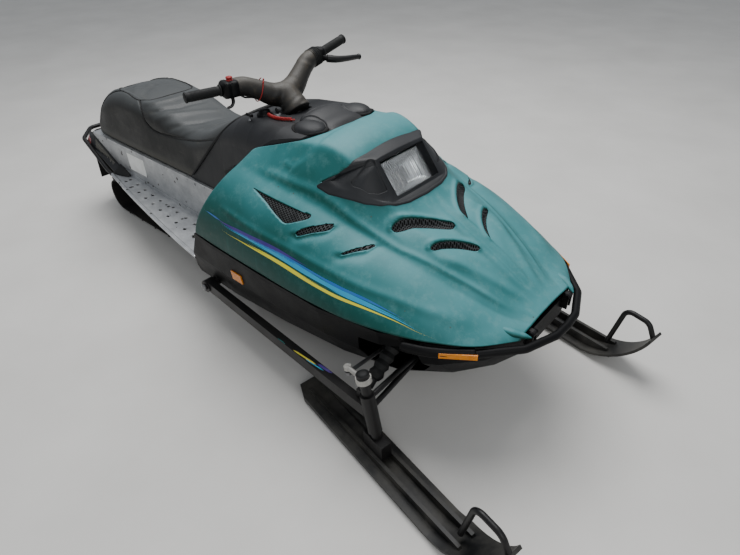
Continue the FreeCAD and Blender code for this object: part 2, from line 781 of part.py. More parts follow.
def make_drive_axle():
    half = tunnel_half_width + 22.0
    axle = rod((drive_x, -half, drive_z), (drive_x, half, drive_z), 20.0)
    shapes = [axle]
    for y in (-95.0, 95.0):
        shapes.append(rod((drive_x, y - 14, drive_z), (drive_x, y + 14, drive_z), drive_radius - gap))
    return fused(shapes)


def make_front_frame():
    # Bulkhead and engine cradle ahead of the tunnel, with the mounts of the front suspension
    floor_z = 262.0
    start = tunnel_front_x + gap
    plate = prism_z(((start, -200), (start, 200), (880, 200), (1060, 130), (1060, -130), (880, -200)),
                    floor_z, floor_z + 5)
    rails = []
    side_outline = ((start, floor_z), (start, 330), (700, 420), (900, 430), (985, 400), (985, floor_z))
    for side in (-1, 1):
        y0 = side * (frame_half_width - 4.0) - 4.0
        rails.append(prism_y(side_outline, y0, y0 + 8))
    tower = box(850, 870, -200, 200, floor_z, 430)
    nose = box(1052, 1060, -130, 130, floor_z, 396)
    beam = prism_y(((1052, 384), (1052, 396), (1225, 396), (1225, 384)), -134, 134)
    parts = [plate, tower, nose, beam] + rails
    seat_y = shock_top[1] - shock_end_radius * 0.53 - gap
    for side in (-1, 1):
        y0, y1 = sorted((side * (frame_half_width - 4), side * seat_y))
        parts.append(box(shock_top[0] - 20, shock_top[0] + 20, y0, y1, shock_top[2] - 22, shock_top[2] + 20))
    return fused(parts)


def make_rear_bulkhead():
    # The wall that closes the engine room just inside the hood's rear edge
    room = hood_form(hood_wall + run_gap, 0.0)
    slab = behind_hood_edge(-8.0 + 26.0).cut(behind_hood_edge(-8.0 + 22.0))
    wall = room.common(slab)
    wall = wall.cut(tunnel_block(gap).common(box(-2000, 2000, -900, 900, 0, tunnel_top_z + gap)))
    hole = rod(post_foot, bar_centre, post_radius + run_gap + 4)
    wall = wall.cut(hole).cut(notch_prism(-run_gap, 740.0, 1000.0))
    # Bearing for the foot of the steering post, on a shelf standing out of the wall
    foot = V(*post_foot)
    up = (V(*bar_centre) - foot).normalize()
    shelf_z = post_foot[2] + 4
    shelf_x = hood_rear_foot_x + 16 + hood_rear_lean * (shelf_z - hood_rear_foot_z)
    shelf = box(shelf_x, post_foot[0], -32, 32, shelf_z, shelf_z + 8)
    sleeve = Part.makeCylinder(26.0, 40.0, foot, up)
    bore = Part.makeCylinder(post_radius + 0.06, 80.0, foot - up * 20, up)
    return fused([wall, shelf, sleeve]).cut(bore)


def make_engine_block():
    return box(560.0, 800.0, -150.0, 150.0, 267.3, 560.0)


def seat_section(x, foot_y, side_y, side_z, top_y, top_z):
    low = tunnel_top_z + gap
    return Part.Wire([
        line((x, -foot_y, low), (x, foot_y, low)),
        line((x, foot_y, low), (x, side_y, side_z)),
        arc((x, side_y, side_z), (x, side_y * 0.88, side_z + (top_z - side_z) * 0.72), (x, top_y, top_z)),
        line((x, top_y, top_z), (x, -top_y, top_z)),
        arc((x, -top_y, top_z), (x, -side_y * 0.88, side_z + (top_z - side_z) * 0.72), (x, -side_y, side_z)),
        line((x, -side_y, side_z), (x, -foot_y, low)),
    ])


# Seat stations: x, foot half width, side half width, side z, top half width, top z
seat_stations = (
    (-1288.0, 165.0, 160.0, 488.0, 120.0, 500.0),
    (-1245.0, 176.0, 178.0, 520.0, 130.0, 560.0),
    (-1170.0, 186.0, 186.0, 590.0, 130.0, 650.0),
    (-1081.0, 190.0, 188.0, 640.0, 128.0, 708.0),
    (-960.0, 192.0, 186.0, 668.0, 126.0, 738.0),
    (-800.0, 192.0, 182.0, 672.0, 120.0, 742.0),
    (-640.0, 192.0, 176.0, 640.0, 112.0, 722.0),
    (-500.0, 192.0, 174.0, 612.0, 104.0, 690.0),
    (-380.0, 192.0, 178.0, 606.0, 100.0, 678.0),
    (-290.0, 192.0, 182.0, 622.0, 104.0, 696.0),
    (-200.0, 194.0, 184.0, 660.0, 110.0, 735.0),
    (-110.0, 200.0, 184.0, 702.0, 114.0, 780.0),
    (-40.0, 210.0, 186.0, 730.0, 118.0, 806.0),
)
seam_foot_x = -400.0
seam_lean = 1.10
seam_gap = 2.0


def behind_seam(shift):
    # Everything behind the leaning plane where the seat meets the console
    low_z = 300.0
    high_z = 1000.0
    x_low = seam_foot_x + shift + seam_lean * (low_z - tunnel_top_z)
    x_high = seam_foot_x + shift + seam_lean * (high_z - tunnel_top_z)
    outline = ((x_low, low_z), (x_high, high_z), (-far, high_z), (-far, low_z))
    return prism_y(outline, -900.0, 900.0)


def make_seat():
    cushion = Part.makeLoft([seat_section(*s) for s in seat_stations], True, True)
    return cushion.common(behind_seam(0.0))


# Console stations: x, foot half width, side half width, side z, top half width, top z
console_stations = (
    (-420.0, 192.0, 178.0, 600.0, 104.0, 670.0),
    (-200.0, 196.0, 188.0, 664.0, 112.0, 745.0),
    (-110.0, 204.0, 190.0, 706.0, 118.0, 790.0),
    (0.0, 222.0, 204.0, 732.0, 126.0, 828.0),
    (110.0, 244.0, 222.0, 748.0, 140.0, 846.0),
    (260.0, 268.0, 240.0, 766.0, 156.0, 856.0),
    (440.0, 268.0, 240.0, 770.0, 150.0, 858.0),
)
# Notch in the hood's rear edge that the console fills: x, half width
notch_outline = ((100.0, 240.0), (203.0, 238.0), (295.0, 214.0), (380.0, 190.0), (424.0, 110.0), (438.0, 0.0))


def notch_prism(clear, z0, z1):
    right = [(x - clear, y - clear) for x, y in notch_outline[:-1]]
    left = [(x, -y) for x, y in reversed(right)]
    return prism_z(right + [(notch_outline[-1][0] - clear, 0.0)] + left, z0, z1)


def make_console():
    body = Part.makeLoft([seat_section(*s) for s in console_stations], True, True)
    body = body.cut(behind_seam(seam_gap))
    rear = body.common(behind_hood_edge(-run_gap))
    dash = body.common(notch_prism(run_gap, 760.0, 1000.0))
    centre = V(*bar_centre)
    down = (V(*post_foot) - centre).normalize()
    well = Part.makeCylinder(cover_foot_radius + run_gap, cover_length + run_gap, centre, down)
    hole = rod(post_foot, bar_centre, post_radius + run_gap)
    return rear.fuse(dash).removeSplitter().cut(hole).cut(well)


# Instrument pod stations: x, half width, top z
pod_stations = ((268.0, 92.0, 884.0), (284.0, 104.0, 890.0), (350.0, 108.0, 880.0), (418.0, 78.0, 863.0))
pod_base_z = 858.3


def make_instrument_pod():
    # A low dome over the instruments, ahead of the steering post
    wires = []
    for x, half, top in pod_stations:
        wires.append(Part.Wire([arc((x, -half, pod_base_z), (x, 0, top), (x, half, pod_base_z)),
                                line((x, half, pod_base_z), (x, -half, pod_base_z))]))
    return Part.makeLoft(wires, True, True)


def steer_axis():
    return (V(*leg_top) - V(*leg_bottom)).normalize()


def on_axis(height):
    # A point on the left leg's axis, so far above the leg's top
    return V(*leg_top) + steer_axis() * height


def leg_disc(height, thickness, radius):
    return Part.makeCylinder(radius, thickness, on_axis(height), steer_axis())


def make_leg():
    cap = leg_disc(arm_ring_height, 12.0, leg_radius + 5)
    shaft = Part.makeCylinder(leg_radius, (V(*leg_top) - V(*leg_bottom)).Length + arm_ring_height,
                              V(*leg_bottom), steer_axis())
    saddle_z = ski_bottom_z + ski_thickness + ski_rib_height + gap
    x, y, z = leg_bottom
    saddle = box(x - 46, x + 46, y - 20, y + 20, saddle_z, z + 18)
    return fused([shaft, cap, saddle])


def arm_direction():
    axis = steer_axis()
    back = V(-1, 0, 0)
    return (back - axis * back.dot(axis)).normalize()


def ball_centre():
    # Centre of the steering arm's end, before the skis are turned
    return on_axis(arm_ring_height / 2) + arm_direction() * steering_arm_length


def make_steering_arm():
    # A cast clamp round the leg with its arm and the stud that carries the tie rod
    axis = steer_axis()
    ring = leg_disc(gap, arm_ring_height - 2 * gap, arm_ring_radius)
    beam = Part.makeCylinder(8.0, steering_arm_length, on_axis(arm_ring_height / 2), arm_direction())
    boss = Part.makeCylinder(ball_radius, 14.0, ball_centre() - axis * 7, axis)
    stud = Part.makeCylinder(stud_radius, 24.0, ball_centre() - axis * 29, axis)
    bore = leg_disc(-5.0, 40.0, leg_radius + 0.05)
    return fused([ring, beam, boss, stud]).cut(bore)


def sided(shape, side):
    return shape if side > 0 else mirrored(shape)


def ski_profile():
    # Side view of the ski plate along its own heading, curving up to the tip
    low, t = ski_bottom_z, ski_thickness
    tip_x, tip_z = ski_tip, ski_tip_z
    mid = ((ski_flat_front + tip_x) / 2 + 22, low + (tip_z - low) * 0.30)
    rear = ski_rear
    edges = [
        line((rear + 30, 0, low), (ski_flat_front, 0, low)),
        arc((ski_flat_front, 0, low), (mid[0], 0, mid[1]), (tip_x, 0, tip_z)),
        line((tip_x, 0, tip_z), (tip_x - t, 0, tip_z + 5)),
        arc((tip_x - t, 0, tip_z + 5), (mid[0] - 5, 0, mid[1] + t), (ski_flat_front, 0, low + t)),
        line((ski_flat_front, 0, low + t), (rear, 0, low + t + 14)),
        line((rear, 0, low + t + 14), (rear, 0, low + 14)),
        line((rear, 0, low + 14), (rear + 30, 0, low)),
    ]
    return Part.Face(Part.Wire(edges))


def make_ski():
    plate = ski_profile().extrude(V(0, 2 * ski_half_width, 0))
    plate.translate(V(0, -ski_half_width, 0))
    # Narrowing towards the tip, and rounded at the rear
    plan = ((ski_rear - 5, -40), (ski_rear + 60, -ski_half_width), (ski_flat_front + 60, -ski_half_width),
            (ski_tip + 5, -34), (ski_tip + 5, 34), (ski_flat_front + 60, ski_half_width),
            (ski_rear + 60, ski_half_width), (ski_rear - 5, 40))
    ski = plate.common(prism_z(plan, 0, 400))
    top = ski_bottom_z + ski_thickness
    ribs = []
    for y in (-ski_rib_y, ski_rib_y):
        outline = ((ski_rear + 20, top - 2), (ski_rear + 60, top + ski_rib_height),
                   (ski_flat_front + 92, top + ski_rib_height + 14), (ski_flat_front + 110, top + 8),
                   (ski_flat_front, top - 2))
        ribs.append(prism_y(outline, y - 6, y + 6))
    return fused([ski] + ribs)


def make_wear_bar():
    low = ski_bottom_z - wear_bar_radius - gap
    bar = tube(((-170, 0, ski_bottom_z + 4), (-120, 0, low), (150, 0, low), (200, 0, ski_bottom_z + 4)),
               40.0, wear_bar_radius)
    return bar.cut(make_ski())


def make_ski_loop():
    top = ski_bottom_z + ski_thickness + ski_rib_height
    foot = (ski_flat_front + 70, 0, top + 20)
    points = (foot, (ski_flat_front + 108, 0, loop_top_z), (ski_tip - 40, 0, loop_top_z - 6),
              (ski_tip - 12, 0, ski_tip_z - 6))
    return tube(points, 34.0, loop_radius).cut(make_ski())


def placed_ski(shape, side):
    # From the ski's own frame to its place under the leg, turned as the machine is parked
    ground_x = leg_bottom[0]
    shape = shape.copy()
    shape.translate(V(ground_x, side * leg_bottom[1], 0))
    return turned(shape, side)


def turned(shape, side):
    axis = steer_axis()
    shape = shape.copy()
    shape.rotate(V(leg_bottom[0], side * leg_bottom[1], leg_bottom[2]), axis, ski_rest_turn)
    return shape


def tie_eye(side):
    # Centre of the tie rod's outer eye with the skis turned as parked
    eye = ball_centre() - steer_axis() * 18
    point = Part.Vertex(eye.x, side * eye.y, eye.z)
    return turned(point, side).Point


def make_tie_rod(side):
    axis = steer_axis()
    eye = tie_eye(side)
    inner = V(tie_inner[0], side * tie_inner[1], tie_inner[2])
    start = eye + (inner - eye).normalize() * (stud_radius + 3)
    ring = Part.makeCylinder(ball_radius, 10.0, eye - axis * 5, axis)
    bar = Part.makeCylinder(rod_radius - 1.5, (inner - start).Length, start, inner - start)
    bore = Part.makeCylinder(stud_radius + 0.08, 40.0, eye - axis * 20, axis)
    return ring.fuse(bar).cut(bore).removeSplitter()


def make_trailing_arm(side):
    # A box-section arm from the pivot behind the footwell to the leg's sleeve
    pivot = V(*arm_pivot)
    top, bottom = V(*leg_top), V(*leg_bottom)
    axis = steer_axis()
    sleeve_low = bottom + axis * 42
    sleeve_high = bottom + axis * 190
    middle = bottom + axis * 120
    front = V(middle.x - 16, middle.y, middle.z)
    run = front - pivot
    across = V(0, 0, 1).cross(run).normalize()
    up = run.cross(across).normalize()
    half_w, half_h = arm_width / 2, arm_height / 2
    corners = [pivot + across * a + up * b for a, b in
               ((-half_w, -half_h), (half_w, -half_h), (half_w, half_h), (-half_w, half_h))]
    beam = Part.Face(Part.makePolygon(corners + corners[:1])).extrude(run)
    sleeve = rod(tuple(sleeve_low), tuple(sleeve_high), sleeve_radius)
    pivot_boss = rod((pivot.x, pivot.y - 22, pivot.z), (pivot.x, pivot.y + 22, pivot.z), 26.0)
    seat_y = shock_foot[1] + 15.0 * 0.53 + gap
    lug = box(shock_foot[0] - 16, shock_foot[0] + 14, seat_y, middle.y - 4, middle.z - 6, shock_foot[2] + 10)
    arm = beam.fuse(sleeve).fuse(pivot_boss).fuse(lug)
    arm = arm.cut(rod(leg_bottom, leg_top, sleeve_bore_radius))
    arm = arm.cut(rod((pivot.x, 0, pivot.z), (pivot.x, 600, pivot.z), 12.1))
    arm = arm.removeSplitter()
    return arm if side > 0 else mirrored(arm)


def make_arm_pivots():
    # Cross pins of the trailing arms, standing out of the tunnel's sides
    y0 = tunnel_half_width + gap
    y1 = arm_pivot[1] + 26
    shapes = []
    for side in (-1, 1):
        shapes.append(rod((arm_pivot[0], side * y0, arm_pivot[2]), (arm_pivot[0], side * y1, arm_pivot[2]), 12.0))
        shapes.append(rod((arm_pivot[0], side * y0, arm_pivot[2]),
                          (arm_pivot[0], side * (arm_pivot[1] - 24), arm_pivot[2]), 20.0))
    return [shapes[0].fuse(shapes[1]).removeSplitter(), shapes[2].fuse(shapes[3]).removeSplitter()]


def make_radius_rods():
    # Upper and lower rods from the leg's sleeve in to the frame's side
    shapes = []
    frame_side = frame_half_width + gap
    frame_room = box(0, 2000, -frame_side, frame_side, 0, 900)
    sleeve_room = rod(leg_bottom, leg_top, sleeve_radius + gap)
    for outer_z, inner_x, inner_z in radius_rod_ends:
        share = (leg_top[2] - outer_z) / (leg_top[2] - leg_bottom[2])
        outer = (leg_top[0] + (leg_bottom[0] - leg_top[0]) * share, leg_top[1], outer_z)
        inner = (inner_x, frame_half_width - 10, inner_z)
        link = rod(outer, inner, radius_rod_radius).cut(frame_room).cut(sleeve_room)
        link = max(link.Solids, key=lambda piece: piece.Volume)
        shapes += [link, mirrored(link)]
    return shapes


boot_ribs = 6
boot_radius = 26.0


def make_shock(side):
    # Damper with a ribbed boot, from the trailing arm's front up to the tower
    low = V(shock_foot[0], side * shock_foot[1], shock_foot[2])
    high = V(shock_top[0], side * shock_top[1], shock_top[2])
    axis = (high - low).normalize()
    length = (high - low).Length
    profile = [V(0, 0, 0), V(15, 0, 0), V(15, 0, 28)]
    start = 32.0
    pitch = (length - 100.0) / boot_ribs
    for i in range(boot_ribs):
        z = start + i * pitch
        profile += [V(boot_radius - 6, 0, z), V(boot_radius, 0, z + pitch * 0.5)]
    end = start + boot_ribs * pitch
    profile += [V(shock_end_radius, 0, end), V(shock_end_radius, 0, length), V(0, 0, length)]
    face = Part.Face(Part.makePolygon(profile + profile[:1]))
    solid = face.revolve(V(0, 0, 0), V(0, 0, 1), 360)
    solid.Placement = FreeCAD.Placement(low, FreeCAD.Rotation(V(0, 0, 1), axis))
    return solid


def make_bumper_hoop():
    right = [(x, -y, bumper_z) for x, y in bumper_points]
    left = [(x, y, bumper_z) for x, y in reversed(bumper_points[:-1])]
    return tube(right + left, bumper_bend, bumper_radius)


def make_front_bumper():
    # The hoop round the nose and the lugs that hold it to the pan
    hoop = make_bumper_hoop()
    lugs = []
    for index, share in ((0, 0.35), (1, 0.75)):
        a, b = bumper_points[index], bumper_points[index + 1]
        x = a[0] + (b[0] - a[0]) * share
        y = a[1] + (b[1] - a[1]) * share
        lug = box(x - 16, x + 16, y - 60, y - 4, bumper_z - 6, bumper_z + 6).cut(pan_form(-gap, 60.0))
        lugs += [lug, mirrored(lug)]
    return fused([hoop] + lugs)


def make_rear_bumper():
    end = (board_rear_x - 2.8, board_rear_half, board_rear_z - 2)
    right = [(x, -y, z) for x, y, z in (end,) + rear_bumper_corners]
    left = [(x, -y, z) for x, y, z in reversed(right)]
    return tube(right + left, rear_bumper_bend, rear_bumper_radius)


def make_rear_end_cap():
    # Sloping plastic panel from the tunnel's side down to the bumper tube, round the rear corner
    inner_y = tunnel_half_width + gap
    front = board_rear_x - cap_gap
    reach = rear_bumper_radius + gap + 1.0
    first = V(*rear_bumper_corners[0])
    second = V(*rear_bumper_corners[1])
    back = second.x + cap_end_gap
    corner = tunnel_rear_x - gap - 1.0

    def beside_tube(x):
        share = (first.x - x) / (first.x - second.x)
        place = first + (second - first) * share
        return V(x, place.y - reach, place.z)

    upper = [V(front, inner_y, board_rear_z + 26), V(corner, inner_y, tunnel_top_z - 12), V(back, 184, 462)]
    lower = [V(front, beside_tube(front).y - 6, board_rear_z + 4), beside_tube(corner), beside_tube(back)]
    plates = []
    for (a, b), (c, d) in zip(zip(upper, upper[1:]), zip(lower, lower[1:])):
        for triangle in ((a, b, d), (a, d, c)):
            face = Part.Face(Part.makePolygon(list(triangle) + [triangle[0]]))
            plates.append(face.extrude(V(0, 0, -cap_thickness)))
    return fused(plates)


def make_snow_flap():
    width = 172.0
    top = tunnel_top_z - tunnel_wall - gap
    profile = ((30.0, top), (-30.0, top), (-110.0, 440.0), (-164.0, 300.0), (-180.0, 150.0), (-176.0, 150.0),
               (-159.0, 301.0), (-106.0, 435.0), (-29.0, top - 5), (30.0, top - 4))
    return prism_y([(tunnel_rear_x + x, z) for x, z in profile], -width, width)


def make_tail_lamp():
    low = tunnel_top_z + gap
    profile = ((1.0, low), (11.0, low), (11.0, 500.5), (38.0, 538.0), (28.0, 540.0), (1.0, 500.0))
    return prism_y([(tunnel_rear_x + x, z) for x, z in profile], -70.0, 70.0)


def bar_point(p, side):
    return V(bar_centre[0] + p[0], side * p[1], bar_centre[2] + p[2])


def steer_turned(shape):
    # The bars as parked
    axis = (V(*bar_centre) - V(*post_foot)).normalize()
    shape = shape.copy()
    shape.rotate(V(*bar_centre), axis, ski_rest_turn / steer_ratio)
    return shape


def make_steering_post():
    # From the lower bearing up to just under the bar
    centre = V(*bar_centre)
    foot = V(*post_foot)
    stop = centre + (foot - centre).normalize() * (bar_radius + gap)
    return rod(post_foot, tuple(stop), post_radius)


def bar_half(side):
    inner = bar_point((-6.0, 40.0, -2.0), side)
    middle = bar_point(bar_inner, side)
    end = bar_point(bar_end, side)
    return inner, middle, end


def make_handlebar():
    right = bar_half(-1)
    left = bar_half(1)
    points = [tuple(p) for p in (right[2], right[1], right[0], left[0], left[1], left[2])]
    bar = tube(points, 30.0, bar_radius)
    return bar


def make_bar_cover():
    # Padded cover over the post and the middle of the bar
    pieces = []
    for side in (-1, 1):
        inner, middle, end = bar_half(side)
        pieces.append(Part.makeCone(cover_root_radius, cover_end_radius, (middle - inner).Length, inner,
                                    middle - inner))
        along = (end - middle).normalize()
        cuff = (end - middle).Length - grip_length - control_length - 8 + control_lap
        pieces.append(Part.makeCylinder(cover_end_radius, cuff + 10, middle - along * 10, along))
    centre = V(*bar_centre)
    axis = (V(*post_foot) - centre).normalize()
    pieces.append(Part.makeCone(cover_top_radius, cover_foot_radius, cover_length + cover_top_rise,
                                centre - axis * cover_top_rise, axis))
    cover = pieces[0].multiFuse(pieces[1:])
    for side in (-1, 1):
        cover = cover.cut(control_blank(side, control_radius + gap))
    return cover.cut(make_handlebar()).cut(make_steering_post())


def control_blank(side, radius):
    inner, middle, end = bar_half(side)
    along = (end - middle).normalize()
    return Part.makeCylinder(radius, control_length, end - along * (grip_length + control_length + 8), along)


def make_grips():
    shapes = []
    for side in (-1, 1):
        inner, middle, end = bar_half(side)
        along = (end - middle).normalize()
        start = end - along * (grip_length - 6)
        grip = Part.makeCylinder(grip_radius, grip_length, start, along)
        shapes.append(grip.cut(Part.makeCylinder(bar_radius + 0.05, grip_length - 5.7, start, along)))
    return shapes


def make_bar_controls():
    # Throttle housing on the right, brake housing with its lever on the left
    shapes = []
    for side in (-1, 1):
        shapes.append(control_blank(side, control_radius).cut(control_blank(side, bar_radius + 0.05)))
    return shapes


def make_brake_lever(side):
    inner, middle, end = bar_half(side)
    along = (end - middle).normalize()
    base = end - along * (grip_length + 30)
    ahead = V(1, 0, 0)
    a = base + ahead * 20
    b = base + ahead * 46 + along * 34
    c = end + ahead * 52 + along * 6
    return tube((tuple(a), tuple(b), tuple(c)), 16.0, 6.0).cut(control_blank(side, control_radius + gap))


def make_ignition_controls():
    # Stop-switch cap, key switch and choke knob standing on the console
    console = make_console()
    cap = Part.makeCylinder(30.0, 40.0, V(82, -98, 816))
    key = Part.makeCylinder(13.0, 46.0, V(140, -84, 820))
    choke = Part.makeCylinder(5.0, 46.0, V(60, -152, 806))
    knob = box(46, 74, -157, -147, 846, 856)
    return [cap.cut(console), key.cut(console), choke.fuse(knob).cut(console)]


# Switch tether: a curly cord from the stop switch along the console, and a loop round the bar's right arm
tether_coil_radius = 6.5
tether_radius = 1.8
tether_route = ((112.5, -103.7, 853.1), (144.0, -116.0, 855.2), (178.0, -119.0, 857.5), (210.0, -113.0, 859.6),
                (238.0, -101.0, 861.5))
tether_share = 0.5
tether_loop_corners = 8


def cord_tube(points, radius):
    # Straight runs joined by tangent arcs, each as large as its two runs allow
    points = [V(*p) for p in points]
    edges = []
    last = points[0]
    for a, b, c in zip(points, points[1:], points[2:]):
        before, after = b - a, c - b
        half_turn = before.getAngle(after) / 2
        reach = 0.45 * min(before.Length, after.Length)
        bend = reach / math.tan(half_turn)
        print("bend radius", round(bend, 1), "for a cord", round(2 * radius, 1), "thick")
        start = b - before.normalize() * reach
        stop = b + after.normalize() * reach
        inward = (start + stop) * 0.5 - b
        middle = b + inward.normalize() * (bend / math.cos(half_turn) - bend)
        edges.append(Part.LineSegment(last, start).toShape())
        edges.append(Part.Arc(start, middle, stop).toShape())
        last = stop
    edges.append(Part.LineSegment(last, points[-1]).toShape())
    path = Part.Wire(edges)
    ring = Part.Wire(Part.Circle(points[0], points[1] - points[0], radius).toShape())
    body = path.makePipeShell([ring], True, False)
    expected = math.pi * radius**2 * path.Length
    print("cord length", round(path.Length, 1), "volume share", round(body.Volume / expected, 4))
    return body


def make_tether_cord():
    return cord_tube(tether_route, tether_coil_radius)


def make_tether_loop():
    # Most of a turn round the padded arm
    inner, middle, end = bar_half(-1)
    along = (middle - inner).normalize()
    centre = inner + (middle - inner) * tether_share
    arm_radius = cover_root_radius + (cover_end_radius - cover_root_radius) * tether_share
    step = 2 * math.pi / tether_loop_corners
    corner_radius = (arm_radius + gap + tether_radius + 0.6) / math.cos(step / 2)
    across = V(0, 0, 1).cross(along).normalize()
    up = along.cross(across)
    points = []
    for k in range(tether_loop_corners):
        angle = math.radians(100) + k * step
        outward = across * math.cos(angle) + up * math.sin(angle)
        points.append(tuple(centre + outward * corner_radius))
    return cord_tube(points, tether_radius)


parts = {}


def add(name, shape):
    solids = shape if isinstance(shape, list) else [shape]
    parts[name] = Part.makeCompound([s for piece in solids for s in piece.Solids])


add("tunnel", make_tunnel())
add("running_boards", [make_running_board(), mirrored(make_running_board())])
add("belly_pan", make_belly_pan())
add("pan_trim", make_pan_trim())
add("front_frame", make_front_frame())
add("rear_bulkhead", make_rear_bulkhead())
add("engine_block", make_engine_block())
add("console", make_console())
add("instrument_pod", make_instrument_pod())
add("ignition_controls", make_ignition_controls())
add("tether_cord", make_tether_cord())
add("seat", make_seat())
add("track", make_track())
add("slide_rails", make_slide_rails())
add("idler_wheels", make_idler_wheels())
add("suspension_arms", make_suspension_arms())
add("drive_axle", make_drive_axle())
add("rear_bumper", make_rear_bumper())
add("snow_flap", make_snow_flap())
add("tail_lamp", make_tail_lamp())
add("front_bumper", make_front_bumper())
add("reflectors", make_reflectors())
add("arm_pivots", make_arm_pivots())
add("radius_rods", make_radius_rods())
add("rear_caps", [make_rear_end_cap(), mirrored(make_rear_end_cap())])
add("trailing_arms", [make_trailing_arm(-1), make_trailing_arm(1)])
add("shocks", [make_shock(-1), make_shock(1)])
for name, side in (("right", -1), ("left", 1)):
    add("leg_" + name, turned(sided(make_leg(), side), side))
    add("steering_arm_" + name, turned(sided(make_steering_arm(), side), side))
    add("ski_" + name, placed_ski(make_ski(), side))
    add("wear_bar_" + name, placed_ski(make_wear_bar(), side))
    add("ski_loop_" + name, placed_ski(make_ski_loop(), side))
    add("tie_rod_" + name, make_tie_rod(side))
add("hood", make_hood())
add("lamp_pod", make_lamp_pod())
add("headlamp_housing", make_headlamp_housing())
add("headlamp_lens", make_headlamp_lens())
grilles = make_vent_grilles()
add("vent_grilles", grilles + [mirrored(g) for g in grilles])
add("hood_hinges", make_hood_hinges())
add("steering_post", steer_turned(make_steering_post()))
add("handlebar", steer_turned(make_handlebar()))
add("tether_loop", steer_turned(make_tether_loop()))
add("bar_cover", steer_turned(make_bar_cover()))
add("grips", [steer_turned(g) for g in make_grips()])
add("bar_controls", [steer_turned(g) for g in make_bar_controls()])
add("brake_lever", steer_turned(make_brake_lever(1)))

os.makedirs("parts", exist_ok=True)
for name, shape in parts.items():
    shape.exportStep("parts/" + name + ".step")
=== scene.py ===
# %% [markdown]
# # A two-up touring snowmobile
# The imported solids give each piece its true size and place, and this script gives it its real surface: a
# faded enamelled hood, weathered black mouldings, a vinyl seat and bare aluminium. Tables are in
# millimetres, as on a drawing, and become metres when a mesh is made.

import math

import bmesh
import bpy
import numpy as np
from mathutils import Matrix, Vector
from mathutils.bvhtree import BVHTree


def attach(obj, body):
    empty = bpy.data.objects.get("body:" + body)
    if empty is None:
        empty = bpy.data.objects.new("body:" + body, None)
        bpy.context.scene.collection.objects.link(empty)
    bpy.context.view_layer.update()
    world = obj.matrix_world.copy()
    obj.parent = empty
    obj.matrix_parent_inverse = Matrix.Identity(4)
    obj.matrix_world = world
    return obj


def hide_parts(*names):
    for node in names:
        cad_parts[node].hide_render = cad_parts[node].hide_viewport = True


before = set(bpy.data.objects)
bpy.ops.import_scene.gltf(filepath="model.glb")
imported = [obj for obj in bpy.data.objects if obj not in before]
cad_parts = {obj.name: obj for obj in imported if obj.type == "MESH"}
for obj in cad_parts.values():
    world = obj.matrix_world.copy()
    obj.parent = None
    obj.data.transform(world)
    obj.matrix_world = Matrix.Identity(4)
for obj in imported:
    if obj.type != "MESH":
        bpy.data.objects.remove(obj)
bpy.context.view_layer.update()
MM = 0.001
SIDES = ((1, "left"), (-1, "right"))

# %% [markdown]
# ## Small tools
# A grid of points becomes a mesh in one step: rows run along the piece and columns run round it. The faces
# are worked out as whole arrays. Modelled by hand, such forms would hide their measures.


# %% Meshes from arrays
def grid_faces(rows, cols, close_cols=False):
    """Quads of a rows by cols grid. Each quad joins a point, its neighbour in the row, and the two beyond."""
    r, c = np.meshgrid(np.arange(rows - 1), np.arange(cols if close_cols else cols - 1), indexing="ij")
    r2, c2 = r + 1, (c + 1) % cols
    return np.stack([r * cols + c, r * cols + c2, r2 * cols + c2, r2 * cols + c], -1).reshape(-1, 4)


def capped_rings(rings):
    """Points and faces of a grid of closed rings, with a fan of faces from each end's middle to its ring."""
    rows, cols = rings.shape[:2]
    points = np.concatenate([rings.reshape(-1, 3), [rings[0].mean(0)], [rings[-1].mean(0)]])
    c, end = np.arange(cols), (rows - 1) * cols
    first = np.stack([np.full(cols, rows * cols), (c + 1) % cols, c], -1)
    last = np.stack([np.full(cols, rows * cols + 1), end + c, end + (c + 1) % cols], -1)
    return points, grid_faces(rows, cols, True).tolist() + first.tolist() + last.tolist()


def plugged_rings(rings):
    """Points and faces of a grid of closed rings, with one flat face over each end."""
    rows, cols = rings.shape[:2]
    foot, top = list(range(cols)), list(range((rows - 1) * cols, rows * cols))
    return rings.reshape(-1, 3), grid_faces(rows, cols, True).tolist() + [foot[::-1], top]


def joined(parts):
    """Many pairs of points and faces as one: a part's indices grow by the number of points before it."""
    before = np.cumsum([0] + [len(points) for points, _ in parts]).tolist()
    faces = [[i + start for i in face] for (_, part), start in zip(parts, before) for face in part]
    return np.concatenate([points for points, _ in parts]), faces


def face_outwards(obj):
    """Turns every face of a closed mesh to point out."""
    work = bmesh.new()
    work.from_mesh(obj.data)
    bmesh.ops.recalc_face_normals(work, faces=work.faces)
    work.to_mesh(obj.data)
    work.free()


def in_scene(name, data):
    """A new object of this data, in the scene."""
    obj = bpy.data.objects.new(name, data)
    bpy.context.scene.collection.objects.link(obj)
    return obj


def mesh_object(name, points, faces):
    """Points in millimetres and faces as index lists become an object."""
    mesh = bpy.data.meshes.new(name)
    mesh.from_pydata((np.asarray(points, float).reshape(-1, 3) * MM).tolist(), [], [list(f) for f in faces])
    return in_scene(name, mesh)


def piece(name, points, faces, body, material, replaces=(), slot=None, smooth=True):
    """An object with a material that rides on a body and may take a node's place."""
    obj = mesh_object(name, points, faces)
    obj.data.polygons.foreach_set("use_smooth", [smooth] * len(obj.data.polygons))
    obj.data.materials.append(material)
    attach(obj, body)
    if replaces:
        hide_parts(*replaces)
    return obj


def closed_piece(name, parts, body, material, **more):
    """One or more closed forms as one piece, with its faces turned out."""
    points, faces = joined(parts)
    obj = piece(name, points, faces, body, material, **more)
    face_outwards(obj)
    return obj


def capped(name, rings, body, material, **more):
    """A grid of closed rings with its ends shut, as one piece."""
    return closed_piece(name, [capped_rings(rings)], body, material, **more)


